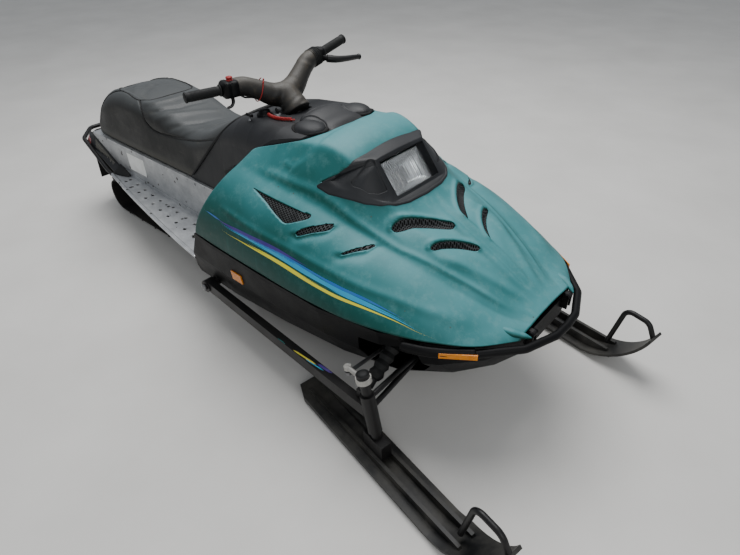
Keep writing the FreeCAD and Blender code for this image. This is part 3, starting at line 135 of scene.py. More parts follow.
def sheet_piece(name, grid, body, material, close_cols=False, **more):
    """A grid of shape (rows, cols, 3) as one piece."""
    rows, cols = grid.shape[:2]
    return piece(name, grid, grid_faces(rows, cols, close_cols=close_cols), body, material, **more)


def modifier(obj, kind, **settings):
    """Adds a modifier and sets its values."""
    m = obj.modifiers.new(kind.lower(), kind)
    for key, value in settings.items():
        setattr(m, key, value)


def apply_modifiers(obj):
    """Replaces the mesh by what its modifiers make of it."""
    graph = bpy.context.evaluated_depsgraph_get()
    mesh = bpy.data.meshes.new_from_object(obj.evaluated_get(graph))
    obj.modifiers.clear()
    old = obj.data
    obj.data = mesh
    bpy.data.meshes.remove(old)


print("quads of a 3 by 4 grid", len(grid_faces(3, 4)), "closed", len(grid_faces(3, 4, True)))

# %% [markdown]
# A station table gives a few sections of a long form. Between stations the values follow a smooth cubic
# whose slope at each station is the mean slope of its two neighbours, so the skin has no flat spans. Bars
# are circles carried along a path, and turned parts are circles set along a straight axis.


# %% Curves, bars and turned forms
def smooth_table(table, at):
    """Values of a table's columns at new first-column places, by cubic spans with averaged slopes."""
    table = np.asarray(table, float)
    x, y = table[:, 0], table[:, 1:]
    step = np.diff(x)[:, None]
    slope = np.diff(y, axis=0) / step
    tangent = np.empty_like(y)
    tangent[1:-1] = (slope[:-1] * step[1:] + slope[1:] * step[:-1]) / (step[1:] + step[:-1])
    tangent[0], tangent[-1] = slope[0], slope[-1]
    at = np.asarray(at, float)
    i = np.clip(np.searchsorted(x, at) - 1, 0, len(x) - 2)
    h = (x[i + 1] - x[i])[..., None]
    t = (at[..., None] - x[i][..., None]) / h
    a, b, ma, mb = y[i], y[i + 1], tangent[i] * h, tangent[i + 1] * h
    return ((2 * t**3 - 3 * t**2 + 1) * a + (t**3 - 2 * t**2 + t) * ma
            + (-2 * t**3 + 3 * t**2) * b + (t**3 - t**2) * mb)


def smoothstep(value, low=0.0, high=1.0):
    """0 below low, 1 above high, and a soft S between."""
    t = np.clip((value - low) / (high - low), 0, 1)
    return t * t * (3 - 2 * t)


def soften(grid, times, closed=False):
    """Each pass moves a point to a quarter, a half and a quarter of its neighbours and itself in its row."""
    for _ in range(times):
        if closed:
            grid = (np.roll(grid, 1, 1) + 2 * grid + np.roll(grid, -1, 1)) / 4
        else:
            inner = (grid[:, :-2] + 2 * grid[:, 1:-1] + grid[:, 2:]) / 4
            grid = np.concatenate([grid[:, :1], inner, grid[:, -1:]], 1)
    return grid


def unit(v):
    """Vectors of length one along the last axis."""
    v = np.asarray(v, float)
    return v / np.maximum(np.linalg.norm(v, axis=-1, keepdims=True), 1e-12)


def run_along(points):
    """Distance from the first point to each point, summed over the straight steps between them."""
    steps = np.linalg.norm(np.diff(np.asarray(points, float), axis=0), axis=1)
    return np.concatenate([[0], np.cumsum(steps)])


def smooth_path(corners, count):
    """Evenly spread points on a smooth curve through the corners, by distance along the corners."""
    run = run_along(corners)
    return smooth_table(np.column_stack([run, corners]), np.linspace(0, run[-1], count))


def taper(count, places, values):
    """A value at evenly spread shares of a path, straight between the given places."""
    return np.interp(np.linspace(0, 1, count), places, values)


def circle(around):
    """Angles of evenly spread points on a full turn."""
    return np.linspace(0, 2 * math.pi, around, endpoint=False)


def sweep(path, radius, around=24, reference=(0, 0, 1), flatten=1.0):
    """Rings of a round bar: at each path point, a circle in the plane across the path's direction."""
    path = np.asarray(path, float)
    tangent = unit(np.gradient(path, axis=0))
    across = unit(np.cross(tangent, reference))
    up = np.cross(across, tangent)
    angle = circle(around)[None, :, None]
    radius = np.broadcast_to(np.asarray(radius, float), (len(path),))
    ring = across[:, None] * np.cos(angle) + up[:, None] * np.sin(angle) * flatten
    return path[:, None] + ring * radius[:, None, None]


def lathe(profile, origin, axis, around=32):
    """Rings of a turned form: profile rows are distance along the axis and radius."""
    profile = np.asarray(profile, float)
    axis = unit(axis)
    helper = np.array([0, 0, 1.0]) if abs(axis[2]) < 0.9 else np.array([1.0, 0, 0])
    across = unit(np.cross(axis, helper))
    up = np.cross(axis, across)
    angle = circle(around)[:, None]
    ring = across * np.cos(angle) + up * np.sin(angle)
    return np.asarray(origin, float) + profile[:, :1, None] * axis + profile[:, 1:, None] * ring


def tube_piece(name, path, radius, body, material, around=24, reference=(0, 0, 1), **more):
    """A capped round bar along a path, as one closed piece."""
    return capped(name, sweep(path, radius, around, reference), body, material, **more)


print("halfway between 0 and 1 a soft S is", smoothstep(0.5), "and at a quarter", smoothstep(0.25))

# %% [markdown]
# ## Materials
# One function adds any node, with its settings and links. A colour is the hex value read off the photograph,
# or a number for a grey, and one function turns it into Blender's linear values. Patterns are in metres on
# Object coordinates, so a noise of scale 1 / 0.02 has blotches about 20 mm wide. Weather comes in patches: a
# noise, and a ramp over its values.


# %% Nodes and colours
def linear(colour):
    """A number as a grey, or an sRGB hex colour by the sRGB curve, as linear RGBA."""
    if not isinstance(colour, str):
        return (colour, colour, colour, 1.0)
    rgb = [int(colour[i:i + 2], 16) / 255 for i in (1, 3, 5)]
    return (*(c / 12.92 if c <= 0.04045 else ((c + 0.055) / 1.055) ** 2.4 for c in rgb), 1.0)


def feed(node, inputs):
    """Gives a node's inputs their values: a socket is linked, and a hex colour is made linear."""
    for key, value in inputs.items():
        if isinstance(value, bpy.types.NodeSocket):
            node.id_data.links.new(value, node.inputs[key])
        else:
            node.inputs[key].default_value = linear(value) if isinstance(value, str) else value


def add(mat, kind, *inputs, out=0, stops=(), **named):
    """Adds one node and returns one output. Inputs come in order or by name, other names are settings, and
    stops are a ramp's. Mix mixes colours, with its inputs 0, 6 and 7 and its output 2."""
    node = mat.node_tree.nodes.new("ShaderNode" + kind)
    order = range(len(inputs))
    if kind == "Mix":
        node.data_type = "RGBA"
        order, out = (0, 6, 7), 2
    for key, value in named.items():
        if key not in node.inputs:
            setattr(node, key, value)
    feed(node, {**dict(zip(order, inputs)), **{k: v for k, v in named.items() if k in node.inputs}})
    if stops:
        elements = node.color_ramp.elements
        while len(elements) < len(stops):
            elements.new(0.5)
        for element, (position, colour) in zip(elements, stops):
            element.position = position
            element.color = linear(colour)
    return node.outputs[out]


def patches(mat, place, size, stops, detail=4.0, roughness=0.55):
    """Soft patches of a size in metres: a noise, whose values the stops turn into shares or colours."""
    value = add(mat, "TexNoise", Vector=place, Scale=1 / size, Detail=detail, Roughness=roughness)
    return add(mat, "ValToRGB", value, stops=stops)


def new_material(name):
    """A material with its surface shader and its object coordinates."""
    mat = bpy.data.materials.new(name)
    mat.use_nodes = True
    return mat, mat.node_tree.nodes["Principled BSDF"], add(mat, "TexCoord", out="Object")


print("hex #808080 is linear", round(linear("#808080")[0], 3))

# %% [markdown]
# The hood is sprayed moulding, paler where it faces up and deep green-teal on its steep flanks. This is partly
# sun-bleaching and partly painted shade: the flanks are darkened for the shade they lie in under the sky, and
# the top is lightened for the light it gets. Rain has washed pale streaks down the sides, and stone chips show
# the dark moulding below. The clear coat has gone chalky, so it shines little. An image could hold all this,
# but a colour that follows how far the skin faces up needs none.


# %% Hood paint
def make_hood_paint():
    """A ramp over the normal's height plus 0.3 (cloud - 0.5) that paints shade on the flanks, then chalk,
    streaks, chips.
    """
    mat, shader, place = new_material("teal_enamel_faded_and_painted_shade")
    normal = add(mat, "TexCoord", out="Normal")
    up = add(mat, "SeparateXYZ", normal, out="Z")
    cloud = add(mat, "TexNoise", Vector=place, Scale=1 / 0.16, Detail=5.0, Roughness=0.55)
    drift = add(mat, "Math", cloud, 0.5, operation="SUBTRACT")
    facing = add(mat, "Math", drift, 0.3, up, operation="MULTIPLY_ADD")
    # Painted shade: the dark low stops darken the steep flanks for their shade, over the real fading of the
    # top
    base = add(mat, "ValToRGB", facing,
               stops=((0.20, "#063f39"), (0.46, "#0c4e49"), (0.70, "#236668"), (0.98, "#4e898e")))
    # Chalk lies in 35 mm patches, thicker where the sun stands on the skin
    chalk = add(mat, "TexNoise", Vector=place, Scale=1 / 0.035, Detail=8.0, Roughness=0.7)
    most = add(mat, "ValToRGB", chalk, stops=((0.50, 0), (0.80, 0.36)))
    sun = add(mat, "Math", up, 0.75, 0.2, operation="MULTIPLY_ADD", use_clamp=True)
    share = add(mat, "Math", most, sun, operation="MULTIPLY")
    base = add(mat, "Mix", share, base, "#7fa9a8")
    # Streaks are 50 mm wide and about eight times as tall, and show on steep skin only
    tall = add(mat, "Mapping", Vector=place, Scale=(1.0, 1.0, 0.12))
    streak = patches(mat, tall, 0.05, ((0.56, 0), (0.74, 0.32)), 6.0, 0.6)
    steep = add(mat, "Math", 1.0, up, operation="SUBTRACT", use_clamp=True)
    share = add(mat, "Math", streak, steep, operation="MULTIPLY")
    base = add(mat, "Mix", share, base, "#2c6f69")
    # A few of the 34 mm cells hold a chip of about 5 mm, coarser than real ones so that it shows
    chip = add(mat, "TexVoronoi", Vector=place, Scale=1 / 0.034, out="Distance")
    small = add(mat, "Math", chip, 0.075, operation="LESS_THAN")
    where = add(mat, "TexNoise", Vector=place, Scale=1 / 0.09, Detail=3.0, Roughness=0.55)
    some = add(mat, "Math", where, 0.55, operation="GREATER_THAN")
    chips = add(mat, "Math", small, some, operation="MULTIPLY")
    share = add(mat, "Math", chips, 0.75, operation="MULTIPLY")
    base = add(mat, "Mix", share, base, "#4a4a3c")
    chalky = add(mat, "ValToRGB", chalk, stops=((0.3, 0.4), (0.8, 0.66)))
    peel = add(mat, "TexNoise", Vector=place, Scale=1 / 0.004, Detail=3.0, Roughness=0.55)
    relief = add(mat, "Bump", Height=peel, Distance=0.0004, Strength=0.25)
    feed(shader, {"Base Color": base, "Roughness": chalky, "Normal": relief, "Specular IOR Level": 0.22,
                  "Coat Weight": 0.03, "Coat Roughness": 0.35})
    return mat


HOOD_PAINT = make_hood_paint()
print("hood paint", len(HOOD_PAINT.node_tree.nodes), "nodes")

# %% [markdown]
# Moulded black plastic greys as it weathers: pale dust lies in a fine speckle over a nearly black base.
# One function makes the family. Enamel, rubber and ski paint here weather in the same way, so they come
# from it too, each with its own colours, roughness and grain. The grain is drawn at 1.6 to 6 mm, where a
# real one is under 1 mm, because a finer one would not show.


# %% Mouldings, enamel and rubber
def make_moulding(name, dark, pale, roughness, grain=0.0016, depth=0.00035, dust=0.5, shine=0.35):
    """A dark base, paler by up to `dust` where dust and sun have greyed it, with a moulded grain as relief."""
    mat, shader, place = new_material(name)
    patch = add(mat, "TexNoise", Vector=place, Scale=1 / 0.11, Detail=6.0, Roughness=0.65)
    greyed = add(mat, "ValToRGB", patch, stops=((0.35, 0), (0.75, dust)))
    base = add(mat, "Mix", greyed, dark, pale)
    speck = patches(mat, place, 0.005, ((0.66, 0), (0.76, 0.35 * dust)), 4.0, 0.7)
    base = add(mat, "Mix", speck, base, pale)
    dull = add(mat, "ValToRGB", patch, stops=((0.3, roughness - 0.08), (0.8, min(roughness + 0.12, 1))))
    fine = add(mat, "TexNoise", Vector=place, Scale=1 / grain, Detail=2.0, Roughness=0.55)
    relief = add(mat, "Bump", Height=fine, Distance=depth, Strength=0.5)
    feed(shader, {"Base Color": base, "Roughness": dull, "Specular IOR Level": shine, "Normal": relief})
    return mat


# Polyethylene as moulded: a deep black with hardly any shine
PAN_PLASTIC = make_moulding("moulded_black_polyethylene", "#040405", "#0f1012", 0.5, shine=0.16)
# ABS is greyer, and the console's is grained
POD_PLASTIC = make_moulding("moulded_dark_grey_abs", "#121417", "#26282c", 0.5, dust=0.6)
CONSOLE_PLASTIC = make_moulding("grained_grey_abs", "#121316", "#292a2d", 0.52, grain=0.003, dust=0.6)
# Sprayed black on steel keeps a little gloss, and dirt shows brown on it
BLACK_ENAMEL = make_moulding("chipped_black_enamel", "#08080a", "#24211e", 0.45, grain=0.006, dust=0.4)
SKI_PAINT = make_moulding("scuffed_black_ski_paint", "#0c0d0e", "#4a4843", 0.52, grain=0.005, dust=0.85)
# Moulded rubber is dull and dusty on the track, softer and cleaner on the grips
TRACK_RUBBER = make_moulding("moulded_track_rubber", "#0a0a0a", "#2c2824", 0.8, grain=0.004, dust=0.8)
SOFT_RUBBER = make_moulding("soft_black_rubber", "#070808", "#191a1b", 0.65, dust=0.4)
# Expanded mesh is worn to a mid grey, and the open foam behind it swallows light
MESH_STEEL = make_moulding("weathered_black_mesh", "#26282a", "#5a5c5d", 0.5, dust=0.7)
FOAM = make_moulding("open_black_foam", "#030303", "#0a0a0a", 0.95, grain=0.003, dust=0.3)
print("mouldings, enamel and rubber made")

# %% [markdown]
# Bare aluminium sheet on a working machine is dull: rolled grain along its length, grey oxide, mud spots.
# Steel rods are zinc plated, and cast arms are rougher and greyer. Rolled grain is a noise drawn out along
# the sheet. It is 3 mm wide, far coarser than real grain, so that it shows.


# %% Metals
def make_metal(name, bright, dull, roughness, grain=(1.0, 1.0, 1.0), spots=0.5, mud="#4b4337", drops=0.0):
    """Bare metal with oxide clouds, a grain drawn out along one axis, dirt and round dried mud drops."""
    mat, shader, place = new_material(name)
    cloud = patches(mat, place, 0.09, ((0.3, 0), (0.75, 1)), 6.0, 0.65)
    base = add(mat, "Mix", cloud, bright, dull)
    drawn = add(mat, "Mapping", Vector=place, Scale=grain)
    fine = add(mat, "TexNoise", Vector=drawn, Scale=1 / 0.003, Detail=3.0)
    dirt = patches(mat, place, 0.022, ((0.60, 0), (0.70, spots)), 8.0, 0.75)
    base = add(mat, "Mix", dirt, base, mud)
    if drops:
        # A drop fills a 48 mm cell up to 0.4 of a slow noise less 0.06, so most cells stay empty
        moved = add(mat, "VectorMath", place, (0.004, 0.0, 0.0), operation="ADD")
        near = add(mat, "TexVoronoi", Vector=moved, Scale=1 / 0.048, out="Distance")
        slow = add(mat, "TexNoise", Vector=place, Scale=1 / 0.05, Detail=3.0, Roughness=0.55)
        size = add(mat, "Math", slow, 0.40, -0.06, operation="MULTIPLY_ADD")
        inside = add(mat, "Math", near, size, operation="LESS_THAN")
        share = add(mat, "Math", inside, drops, operation="MULTIPLY")
        base = add(mat, "Mix", share, base, "#2b2620")
    covered = add(mat, "Math", dirt, 1.2, operation="MULTIPLY")
    bare = add(mat, "Math", 0.9, covered, operation="SUBTRACT", use_clamp=True)
    rough = add(mat, "ValToRGB", fine, stops=((0.3, roughness - 0.06), (0.7, roughness + 0.1)))
    relief = add(mat, "Bump", Height=fine, Distance=0.0003, Strength=0.3)
    feed(shader, {"Base Color": base, "Metallic": bare, "Roughness": rough, "Normal": relief})
    return mat


# Rolled sheet, scuffed and spattered; plated rods, evenly dull; castings, rough and stained with rust
ALUMINIUM = make_metal("scuffed_sheet_aluminium", "#c3c5c6", "#94969a", 0.42, (0.06, 1.0, 1.0), drops=0.85)
ZINC = make_metal("zinc_plated_steel", "#8b8c8e", "#5d5d5e", 0.4)
CAST = make_metal("cast_aluminium", "#c4c3bf", "#94928c", 0.55, mud="#6a4a2c")
# The boards' rims are rubbed bright by boots and painted brighter still as the highlight along the rolled
# edge, and the engine's casting is sooty
RIM_WORN_AND_HIGHLIT = make_metal("worn_aluminium_painted_highlight", "#e2e3e4", "#b4b6b8", 0.36, (0.06, 1.0, 1.0), spots=0.25)
ENGINE_IRON = make_metal("sooty_engine_casting", "#3c3d3e", "#232323", 0.6)
print("metals made")

# %% [markdown]
# ## Camera, light and floor
# The camera stands where the photographer stood, in front of the machine on its right and about 1.5 m up.
# Its place, aim and lens come from fitting the machine's known sizes to the picture of 740 by 555 pixels,
# because a camera placed by eye would leave every proportion in doubt.

# %% Camera
IMAGE_WIDTH_PX = 740.0
FOCAL_PX = 540.32
SENSOR_MM = 36.0
CAMERA_PLACE = (1.6943, -1.3190, 1.5326)
CAMERA_YAW = math.radians(132.145)
CAMERA_DOWN = math.radians(36.149)
CAMERA_ROLL = math.radians(-1.429)


def make_camera():
    """A camera looks down its own -Z: it is rolled, tipped up from straight down, and turned to the yaw."""
    data = bpy.data.cameras.new("camera")
    data.sensor_width = SENSOR_MM
    data.lens = FOCAL_PX / IMAGE_WIDTH_PX * SENSOR_MM
    camera = in_scene("camera", data)
    turn, tip = CAMERA_YAW - math.pi / 2, math.pi / 2 - CAMERA_DOWN
    camera.matrix_world = (Matrix.Translation(CAMERA_PLACE) @ Matrix.Rotation(turn, 4, "Z")
                           @ Matrix.Rotation(tip, 4, "X") @ Matrix.Rotation(CAMERA_ROLL, 4, "Z"))
    bpy.context.scene.camera = camera
    print("lens", round(data.lens, 2), "mm")


make_camera()

# %% [markdown]
# A bright world and one big soft light overhead stand for an overcast sky, and a weaker light in front
# lifts the shaded nose. A sky texture would give sharper shadows. The floor is a plain pale sheet, so that
# the machine's outline stays easy to read.

# %% Lights and floor
SKY_LIGHT = ("sky", (-0.6, 0.9, 4.6), (0, 0, 0.4), 4.0, 250.0, (1, 1, 1))
FRONT_LIGHT = ("front", (3.6, -2.2, 2.6), (0.4, 0, 0.5), 2.5, 44.0, (1.0, 0.99, 0.97))
WORLD_COLOUR, WORLD_STRENGTH = "#dfe4ea", 0.55
FLOOR_HALF = 30000


def make_light(name, place, aim, width, power, colour):
    """A round soft light of a width in metres and a power in watts, aimed at a place."""
    data = bpy.data.lights.new(name, "AREA")
    data.shape = "DISK"
    data.size = width
    data.energy = power
    data.color = colour
    lamp = in_scene(name, data)
    lamp.location = place
    lamp.rotation_euler = (Vector(aim) - Vector(place)).to_track_quat("-Z", "Y").to_euler()


def make_floor():
    """A flat square with faint clouds of grey, marked as stage."""
    h = FLOOR_HALF
    floor = mesh_object("floor", [(-h, -h, 0), (h, -h, 0), (h, h, 0), (-h, h, 0)], [(0, 1, 2, 3)])
    mat, shader, place = new_material("pale_floor")
    grey = patches(mat, place, 0.6, ((0.3, "#c9c7c3"), (0.7, "#d4d2ce")))
    feed(shader, {"Base Color": grey, "Roughness": 0.9})
    floor.data.materials.append(mat)


WORLD = bpy.data.worlds.new("studio")
WORLD.use_nodes = True
feed(WORLD.node_tree.nodes["Background"], {"Color": WORLD_COLOUR, "Strength": WORLD_STRENGTH})
bpy.context.scene.world = WORLD
make_light(*SKY_LIGHT)
make_light(*FRONT_LIGHT)
make_floor()
print("lights", len(bpy.data.lights))

# %% [markdown]
# ## The hood
# The hood is one big moulded shell. A section across it is an arc up each flank, a nearly straight
# shoulder and a shallow arc over the top. A subdivided cage could give the shape too, but a table of ten
# sections holds the measures, and the smooth table joins them.

# %% Hood sections
# x, top z, shoulder y, z, crease y, z, flank y, z, edge y, z
HOOD_STATIONS = (
    (-120, 828, 175, 808, 300, 735, 372, 682, 432, 460),
    (120, 846, 185, 828, 306, 738, 390, 666, 446, 460),
    (380, 864, 190, 846, 306, 722, 403, 645, 453, 460),
    (570, 858, 180, 838, 288, 694, 394, 618, 455, 460),
    (680, 772, 170, 752, 270, 655, 380, 602, 452, 460),
    (780, 693, 150, 684, 256, 624, 362, 588, 443, 460),
    (920, 632, 138, 622, 228, 582, 314, 560, 412, 460),
    (1060, 562, 118, 552, 186, 526, 254, 520, 354, 459),
    (1170, 500, 95, 492, 140, 478, 197, 474, 272, 454),
    (1240, 470, 70, 468, 104, 464, 142, 459, 172, 446),
)
HOOD_NOSE_X = HOOD_STATIONS[-1][0]
HOOD_FOOT_Z = 460.0
HOOD_REAR_LEAN = 0.57
# Notch for the console in the hood's rear edge: half width, x
NOTCH = np.array([(0, 438), (110, 424), (190, 380), (214, 295), (238, 203), (240, 100)])
# Shares of the half section at the flank's end and at the shoulder's upper end
FLANK_END, SHOULDER_START = 0.46, 0.70


def circle_through(a, b, c):
    """Centre and radius of the circle through three points in a plane."""
    ax, ay, bx, by, cx, cy = *a, *b, *c
    d = 2 * (ax * (by - cy) + bx * (cy - ay) + cx * (ay - by))
    a2, b2, c2 = ax**2 + ay**2, bx**2 + by**2, cx**2 + cy**2
    ux = (a2 * (by - cy) + b2 * (cy - ay) + c2 * (ay - by)) / d
    uy = (a2 * (cx - bx) + b2 * (ax - cx) + c2 * (bx - ax)) / d
    return ux, uy, np.hypot(ax - ux, ay - uy)


def arc_between(centre, a, b, share):
    """A point on a circle, a share of the angle from a to b."""
    cx, cy, radius = centre
    start = np.arctan2(a[1] - cy, a[0] - cx)
    turn = np.arctan2(b[1] - cy, b[0] - cx) - start
    turn = (turn + math.pi) % (2 * math.pi) - math.pi
    angle = start + turn * share
    return cx + radius * np.cos(angle), cy + radius * np.sin(angle)


def hood_base(x, v):
    """Half section of the hood: v runs from 0 at the lower edge to 1 at the middle of the top."""
    top, sy, sz, cy, cz, fy, fz, ey, ez = np.moveaxis(smooth_table(HOOD_STATIONS, x), -1, 0)
    side = circle_through((ey, ez), (fy, fz), (cy, cz))
    ya, za = arc_between(side, (ey, ez), (cy, cz), np.clip(v / FLANK_END, 0, 1))
    share = np.clip((v - FLANK_END) / (SHOULDER_START - FLANK_END), 0, 1)
    yb, zb = cy + (sy - cy) * share, cz + (sz - cz) * share
    crown = circle_through((sy, sz), (0 * sy, top), (-sy, sz))
    share = np.clip((v - SHOULDER_START) / (1 - SHOULDER_START), 0, 1)
    yc, zc = arc_between(crown, (sy, sz), (0 * sy, top), share)
    y = np.where(v < FLANK_END, ya, np.where(v < SHOULDER_START, yb, yc))
    z = np.where(v < FLANK_END, za, np.where(v < SHOULDER_START, zb, zc))
    return np.stack([x, y, z], -1)


print("hood sections", len(HOOD_STATIONS), "nose at", HOOD_NOSE_X)


# %% [markdown]
# The forms that make the hood's face are small heights added along the skin: scoops that ramp down into
# each vent, a soft rib along each crease, a V of ribs towards the nose, and the swelling behind the lamp.
# Sculpting could do it, but a formula over the distance to a line can be moved with its line.

# %% Forms on the hood
# Vents on top, in plan: outer end, middle and inner end of the centre line, and width
TOP_VENTS = (
    ((778, 200), (822, 114), (903, 33), 27),
    ((903, 164), (930, 100), (1001, 34), 17),
)
# Vents on the side, in side view: rear end, middle and front end of the centre line, and width
SIDE_VENTS = (
    ((533, 634), (575, 652), (629, 662), 19),
    ((703, 613), (731, 623), (766, 626), 9),
)
SIDE_MESH = ((286, 707), (552, 683), (548, 673), (480, 650), (434, 664), (369, 686))
# The V of ribs from the vents' inner ends to the nose, with a shallow valley between, in plan
INNER_RIB = ((800, 20), (960, 24), (1110, 22), (1215, 14))
OUTER_RIB = ((905, 180), (1010, 120), (1130, 66), (1215, 34))
# The ribs along the two creases: the upper in plan, the lower in side view
UPPER_CREASE = ((240, 292), (450, 280), (650, 256), (830, 225), (990, 175), (1110, 132), (1200, 96))
LOWER_CREASE = ((150, 628), (380, 608), (560, 592), (735, 571), (890, 547), (1042, 516), (1150, 481))
# The swelling's S-shaped rear edge ahead of the console, in plan, and its x over y
SWELL_EDGE = ((357, 250), (394, 254), (429, 224), (462, 183), (452, 95), (452, 0))
SWELL_Y, SWELL_X = (0, 95, 183, 224, 254), (452, 452, 462, 429, 394)


def curve_through(a, b, c):
    """Points on the circular arc through three points, 20 steps from each to the next."""
    centre = circle_through(a, b, c)
    first = np.stack(arc_between(centre, a, b, np.linspace(0, 1, 20, endpoint=False)), -1)
    second = np.stack(arc_between(centre, b, c, np.linspace(0, 1, 21)), -1)
    return np.concatenate([first, second])


def slot_sides(a, middle, b, width):
    """The long sides of a blunt-ended crescent: half its width is w / 2 (1 - t^6)^(1/2), t from -1 to 1."""
    line = curve_through(a, middle, b)
    t = np.linspace(-1, 1, len(line))
    along = unit(np.gradient(line, axis=0))
    across = np.stack([-along[:, 1], along[:, 0]], -1) * (width / 2 * np.sqrt(1 - t**6))[:, None]
    return line + across, line - across


def line_distance(points, line):
    """Distance from each point to an open polyline, and how far along it the nearest place is, 0 to 1."""
    line = np.asarray(line, float)
    best = np.full(points.shape[:-1], 1e9)
    along = np.zeros(points.shape[:-1])
    lengths = np.linalg.norm(np.diff(line, axis=0), axis=1)
    total, done = lengths.sum(), 0.0
    for a, b, length in zip(line, line[1:], lengths):
        t = np.clip(((points - a) @ (b - a)) / max(length**2, 1e-9), 0, 1)
        d = np.linalg.norm(points - (a + t[..., None] * (b - a)), axis=-1)
        closer = d < best
        best = np.where(closer, d, best)
        along = np.where(closer, (done + t * length) / total, along)
        done += length
    return best, along


def bell(distance, width):
    """A bell curve over a distance, exp(-(d / w)^2): 1 on the line and nearly nothing two widths away."""
    return np.exp(-(distance / width) ** 2)


def ridge(points, line, width, height, fade=0.15):
    """A soft rib of the given half width along a polyline, dying out towards both ends."""
    distance, along = line_distance(points, line)
    return height * bell(distance, width) * smoothstep(along, 0, fade) * smoothstep(1 - along, 0, fade)


def scoop(first, second, front, rear, depth, length):
    """Depth of a ramp from a vent's rear lip, deepest along its front lip and fading out ahead."""
    front, rear = front[np.argsort(front[:, 1])], rear[np.argsort(rear[:, 1])]
    x_front = np.interp(second, front[:, 1], front[:, 0])
    x_rear = np.interp(second, rear[:, 1], rear[:, 0])
    across = np.clip((second - front[0, 1]) / (front[-1, 1] - front[0, 1]), 0, 1)
    window = np.sin(math.pi * across) ** 0.7
    fall = np.clip(1 - (first - x_front) / length, 0, 1) ** 2
    return depth * window * np.where(first > x_front, fall, 1.0) * smoothstep(first - x_rear, 5, 14)


def hood_forms(p):
    """Height to add along the hood's normal at points p: ribs and the swelling, less the scoops."""
    x, y, z = p[..., 0], np.abs(p[..., 1]), p[..., 2]
    plan, side = np.stack([x, y], -1), np.stack([x, z], -1)
    top = smoothstep(300 - y, -30, 30)
    flank = smoothstep(y, 235, 262)
    h = np.zeros(x.shape)
    for vent in TOP_VENTS:
        rear, front = sorted(slot_sides(*vent), key=lambda edge: edge[:, 0].mean())
        h -= top * scoop(x, y, front, rear, 12.0, 64.0)
        h += 5.0 * top * bell(line_distance(plan, rear - [9, 0])[0], 8.0)
    for vent in SIDE_VENTS:
        lower = slot_sides(*vent)[1]
        below = smoothstep(np.interp(x, lower[:, 0], lower[:, 1]) - z, -6, 4)
        h -= flank * 7.0 * bell(line_distance(side, lower)[0], 15.0) * below
    h += top * (ridge(plan, INNER_RIB, 16, 5.5, 0.2) + ridge(plan, OUTER_RIB, 17, 5.0, 0.25))
    h += ridge(plan, UPPER_CREASE, 9, 4.0)
    h += ridge(side, LOWER_CREASE, 9, 3.0, 0.1) * smoothstep(y, 190, 240)
    ahead = np.where(x > np.interp(y, SWELL_Y, SWELL_X), 1, -1)
    step = smoothstep(line_distance(plan, SWELL_EDGE)[0] * ahead, -12, 12) * smoothstep(560 - x, 0, 90)
    return h + 6.0 * step * (y < 300) * smoothstep(290 - y, 0, 60)


HOOD_ROWS, HOOD_COLS = 190, 96


def hood_half():
    """Half of the skin: rows from the rear edge to the nose, columns from the lower edge to the middle."""
    v = np.linspace(0, 1, HOOD_COLS)
    start = np.full(HOOD_COLS, 100.0)
    for _ in range(12):
        p = hood_base(start, v)
        plane = HOOD_REAR_LEAN * (p[:, 2] - HOOD_FOOT_Z)
        notch = np.interp(p[:, 1], NOTCH[:, 0], NOTCH[:, 1], right=-1e3)
        start = 0.5 * start + 0.5 * np.maximum(plane, notch)
    x = start + (HOOD_NOSE_X - start) * np.linspace(0, 1, HOOD_ROWS)[:, None]
    soft = soften(hood_base(x, np.broadcast_to(v, x.shape)), 3)
    inwards = unit(np.cross(np.gradient(soft, axis=0), np.gradient(soft, axis=1)))
    return soft - inwards * hood_forms(soft)[..., None]


def both_halves(half):
    """Joins a half grid, whose last column is the middle line, to its mirror image."""
    other = half[:, :-1] * np.array([1, -1, 1])
    return np.concatenate([half, other[:, ::-1]], axis=1)


SKIN = both_halves(hood_half())
print("hood skin", SKIN.shape, "highest", round(SKIN[..., 2].max(), 1))

# %% [markdown]
# The skin gets its wall from a Solidify modifier, and the vents are cut through it with one Boolean, as
# a router would cut the moulding. Leaving faces out of the grid instead would give the vents ragged edges.

# %% The hood's shell
HOOD_WALL = 3.4


def prism(outline, axis, low, high):
    """A closed prism over a plan or side outline: axis 2 stands in Z, axis 1 along Y."""
    n = len(outline)
    points = np.empty((2, n, 3))
    points[..., [i for i in range(3) if i != axis]] = outline
    points[0, :, axis], points[1, :, axis] = low, high
    i = np.arange(n)
    sides = np.stack([i, (i + 1) % n, (i + 1) % n + n, i + n], -1).tolist()
    return points.reshape(-1, 3), sides + [list(range(n))[::-1], list(range(n, 2 * n))]


def slot_outline(a, middle, b, width):
    """The closed outline of a blunt-ended crescent: one side out and the other side back."""
    one, other = slot_sides(a, middle, b, width)
    return np.concatenate([one, other[::-1][1:-1]])


def rounded(outline, radius, steps=6):
    """A polygon with each corner replaced by a soft curve that starts a radius away from it."""
    outline = np.asarray(outline, float)
    result = []
    for before, corner, after in zip(np.roll(outline, 1, 0), outline, np.roll(outline, -1, 0)):
        a = corner + unit(before - corner) * min(radius, np.linalg.norm(before - corner) * 0.45)
        b = corner + unit(after - corner) * min(radius, np.linalg.norm(after - corner) * 0.45)
        t = np.linspace(0, 1, steps)[:, None]
        result.append((1 - t) ** 2 * a + 2 * t * (1 - t) * corner + t**2 * b)
    return np.concatenate(result)


def mirrored(parts):
    """Prisms and their mirror images across the middle plane."""
    return parts + [(points * np.array([1, -1, 1]), [f[::-1] for f in faces]) for points, faces in parts]


def cut_by(obj, parts):
    """Cuts closed prisms out of a piece."""
    cutter = mesh_object("cutter", *joined(parts))
    face_outwards(cutter)
    modifier(obj, "BOOLEAN", operation="DIFFERENCE", solver="EXACT", object=cutter)
    apply_modifiers(obj)
    bpy.data.objects.remove(cutter)


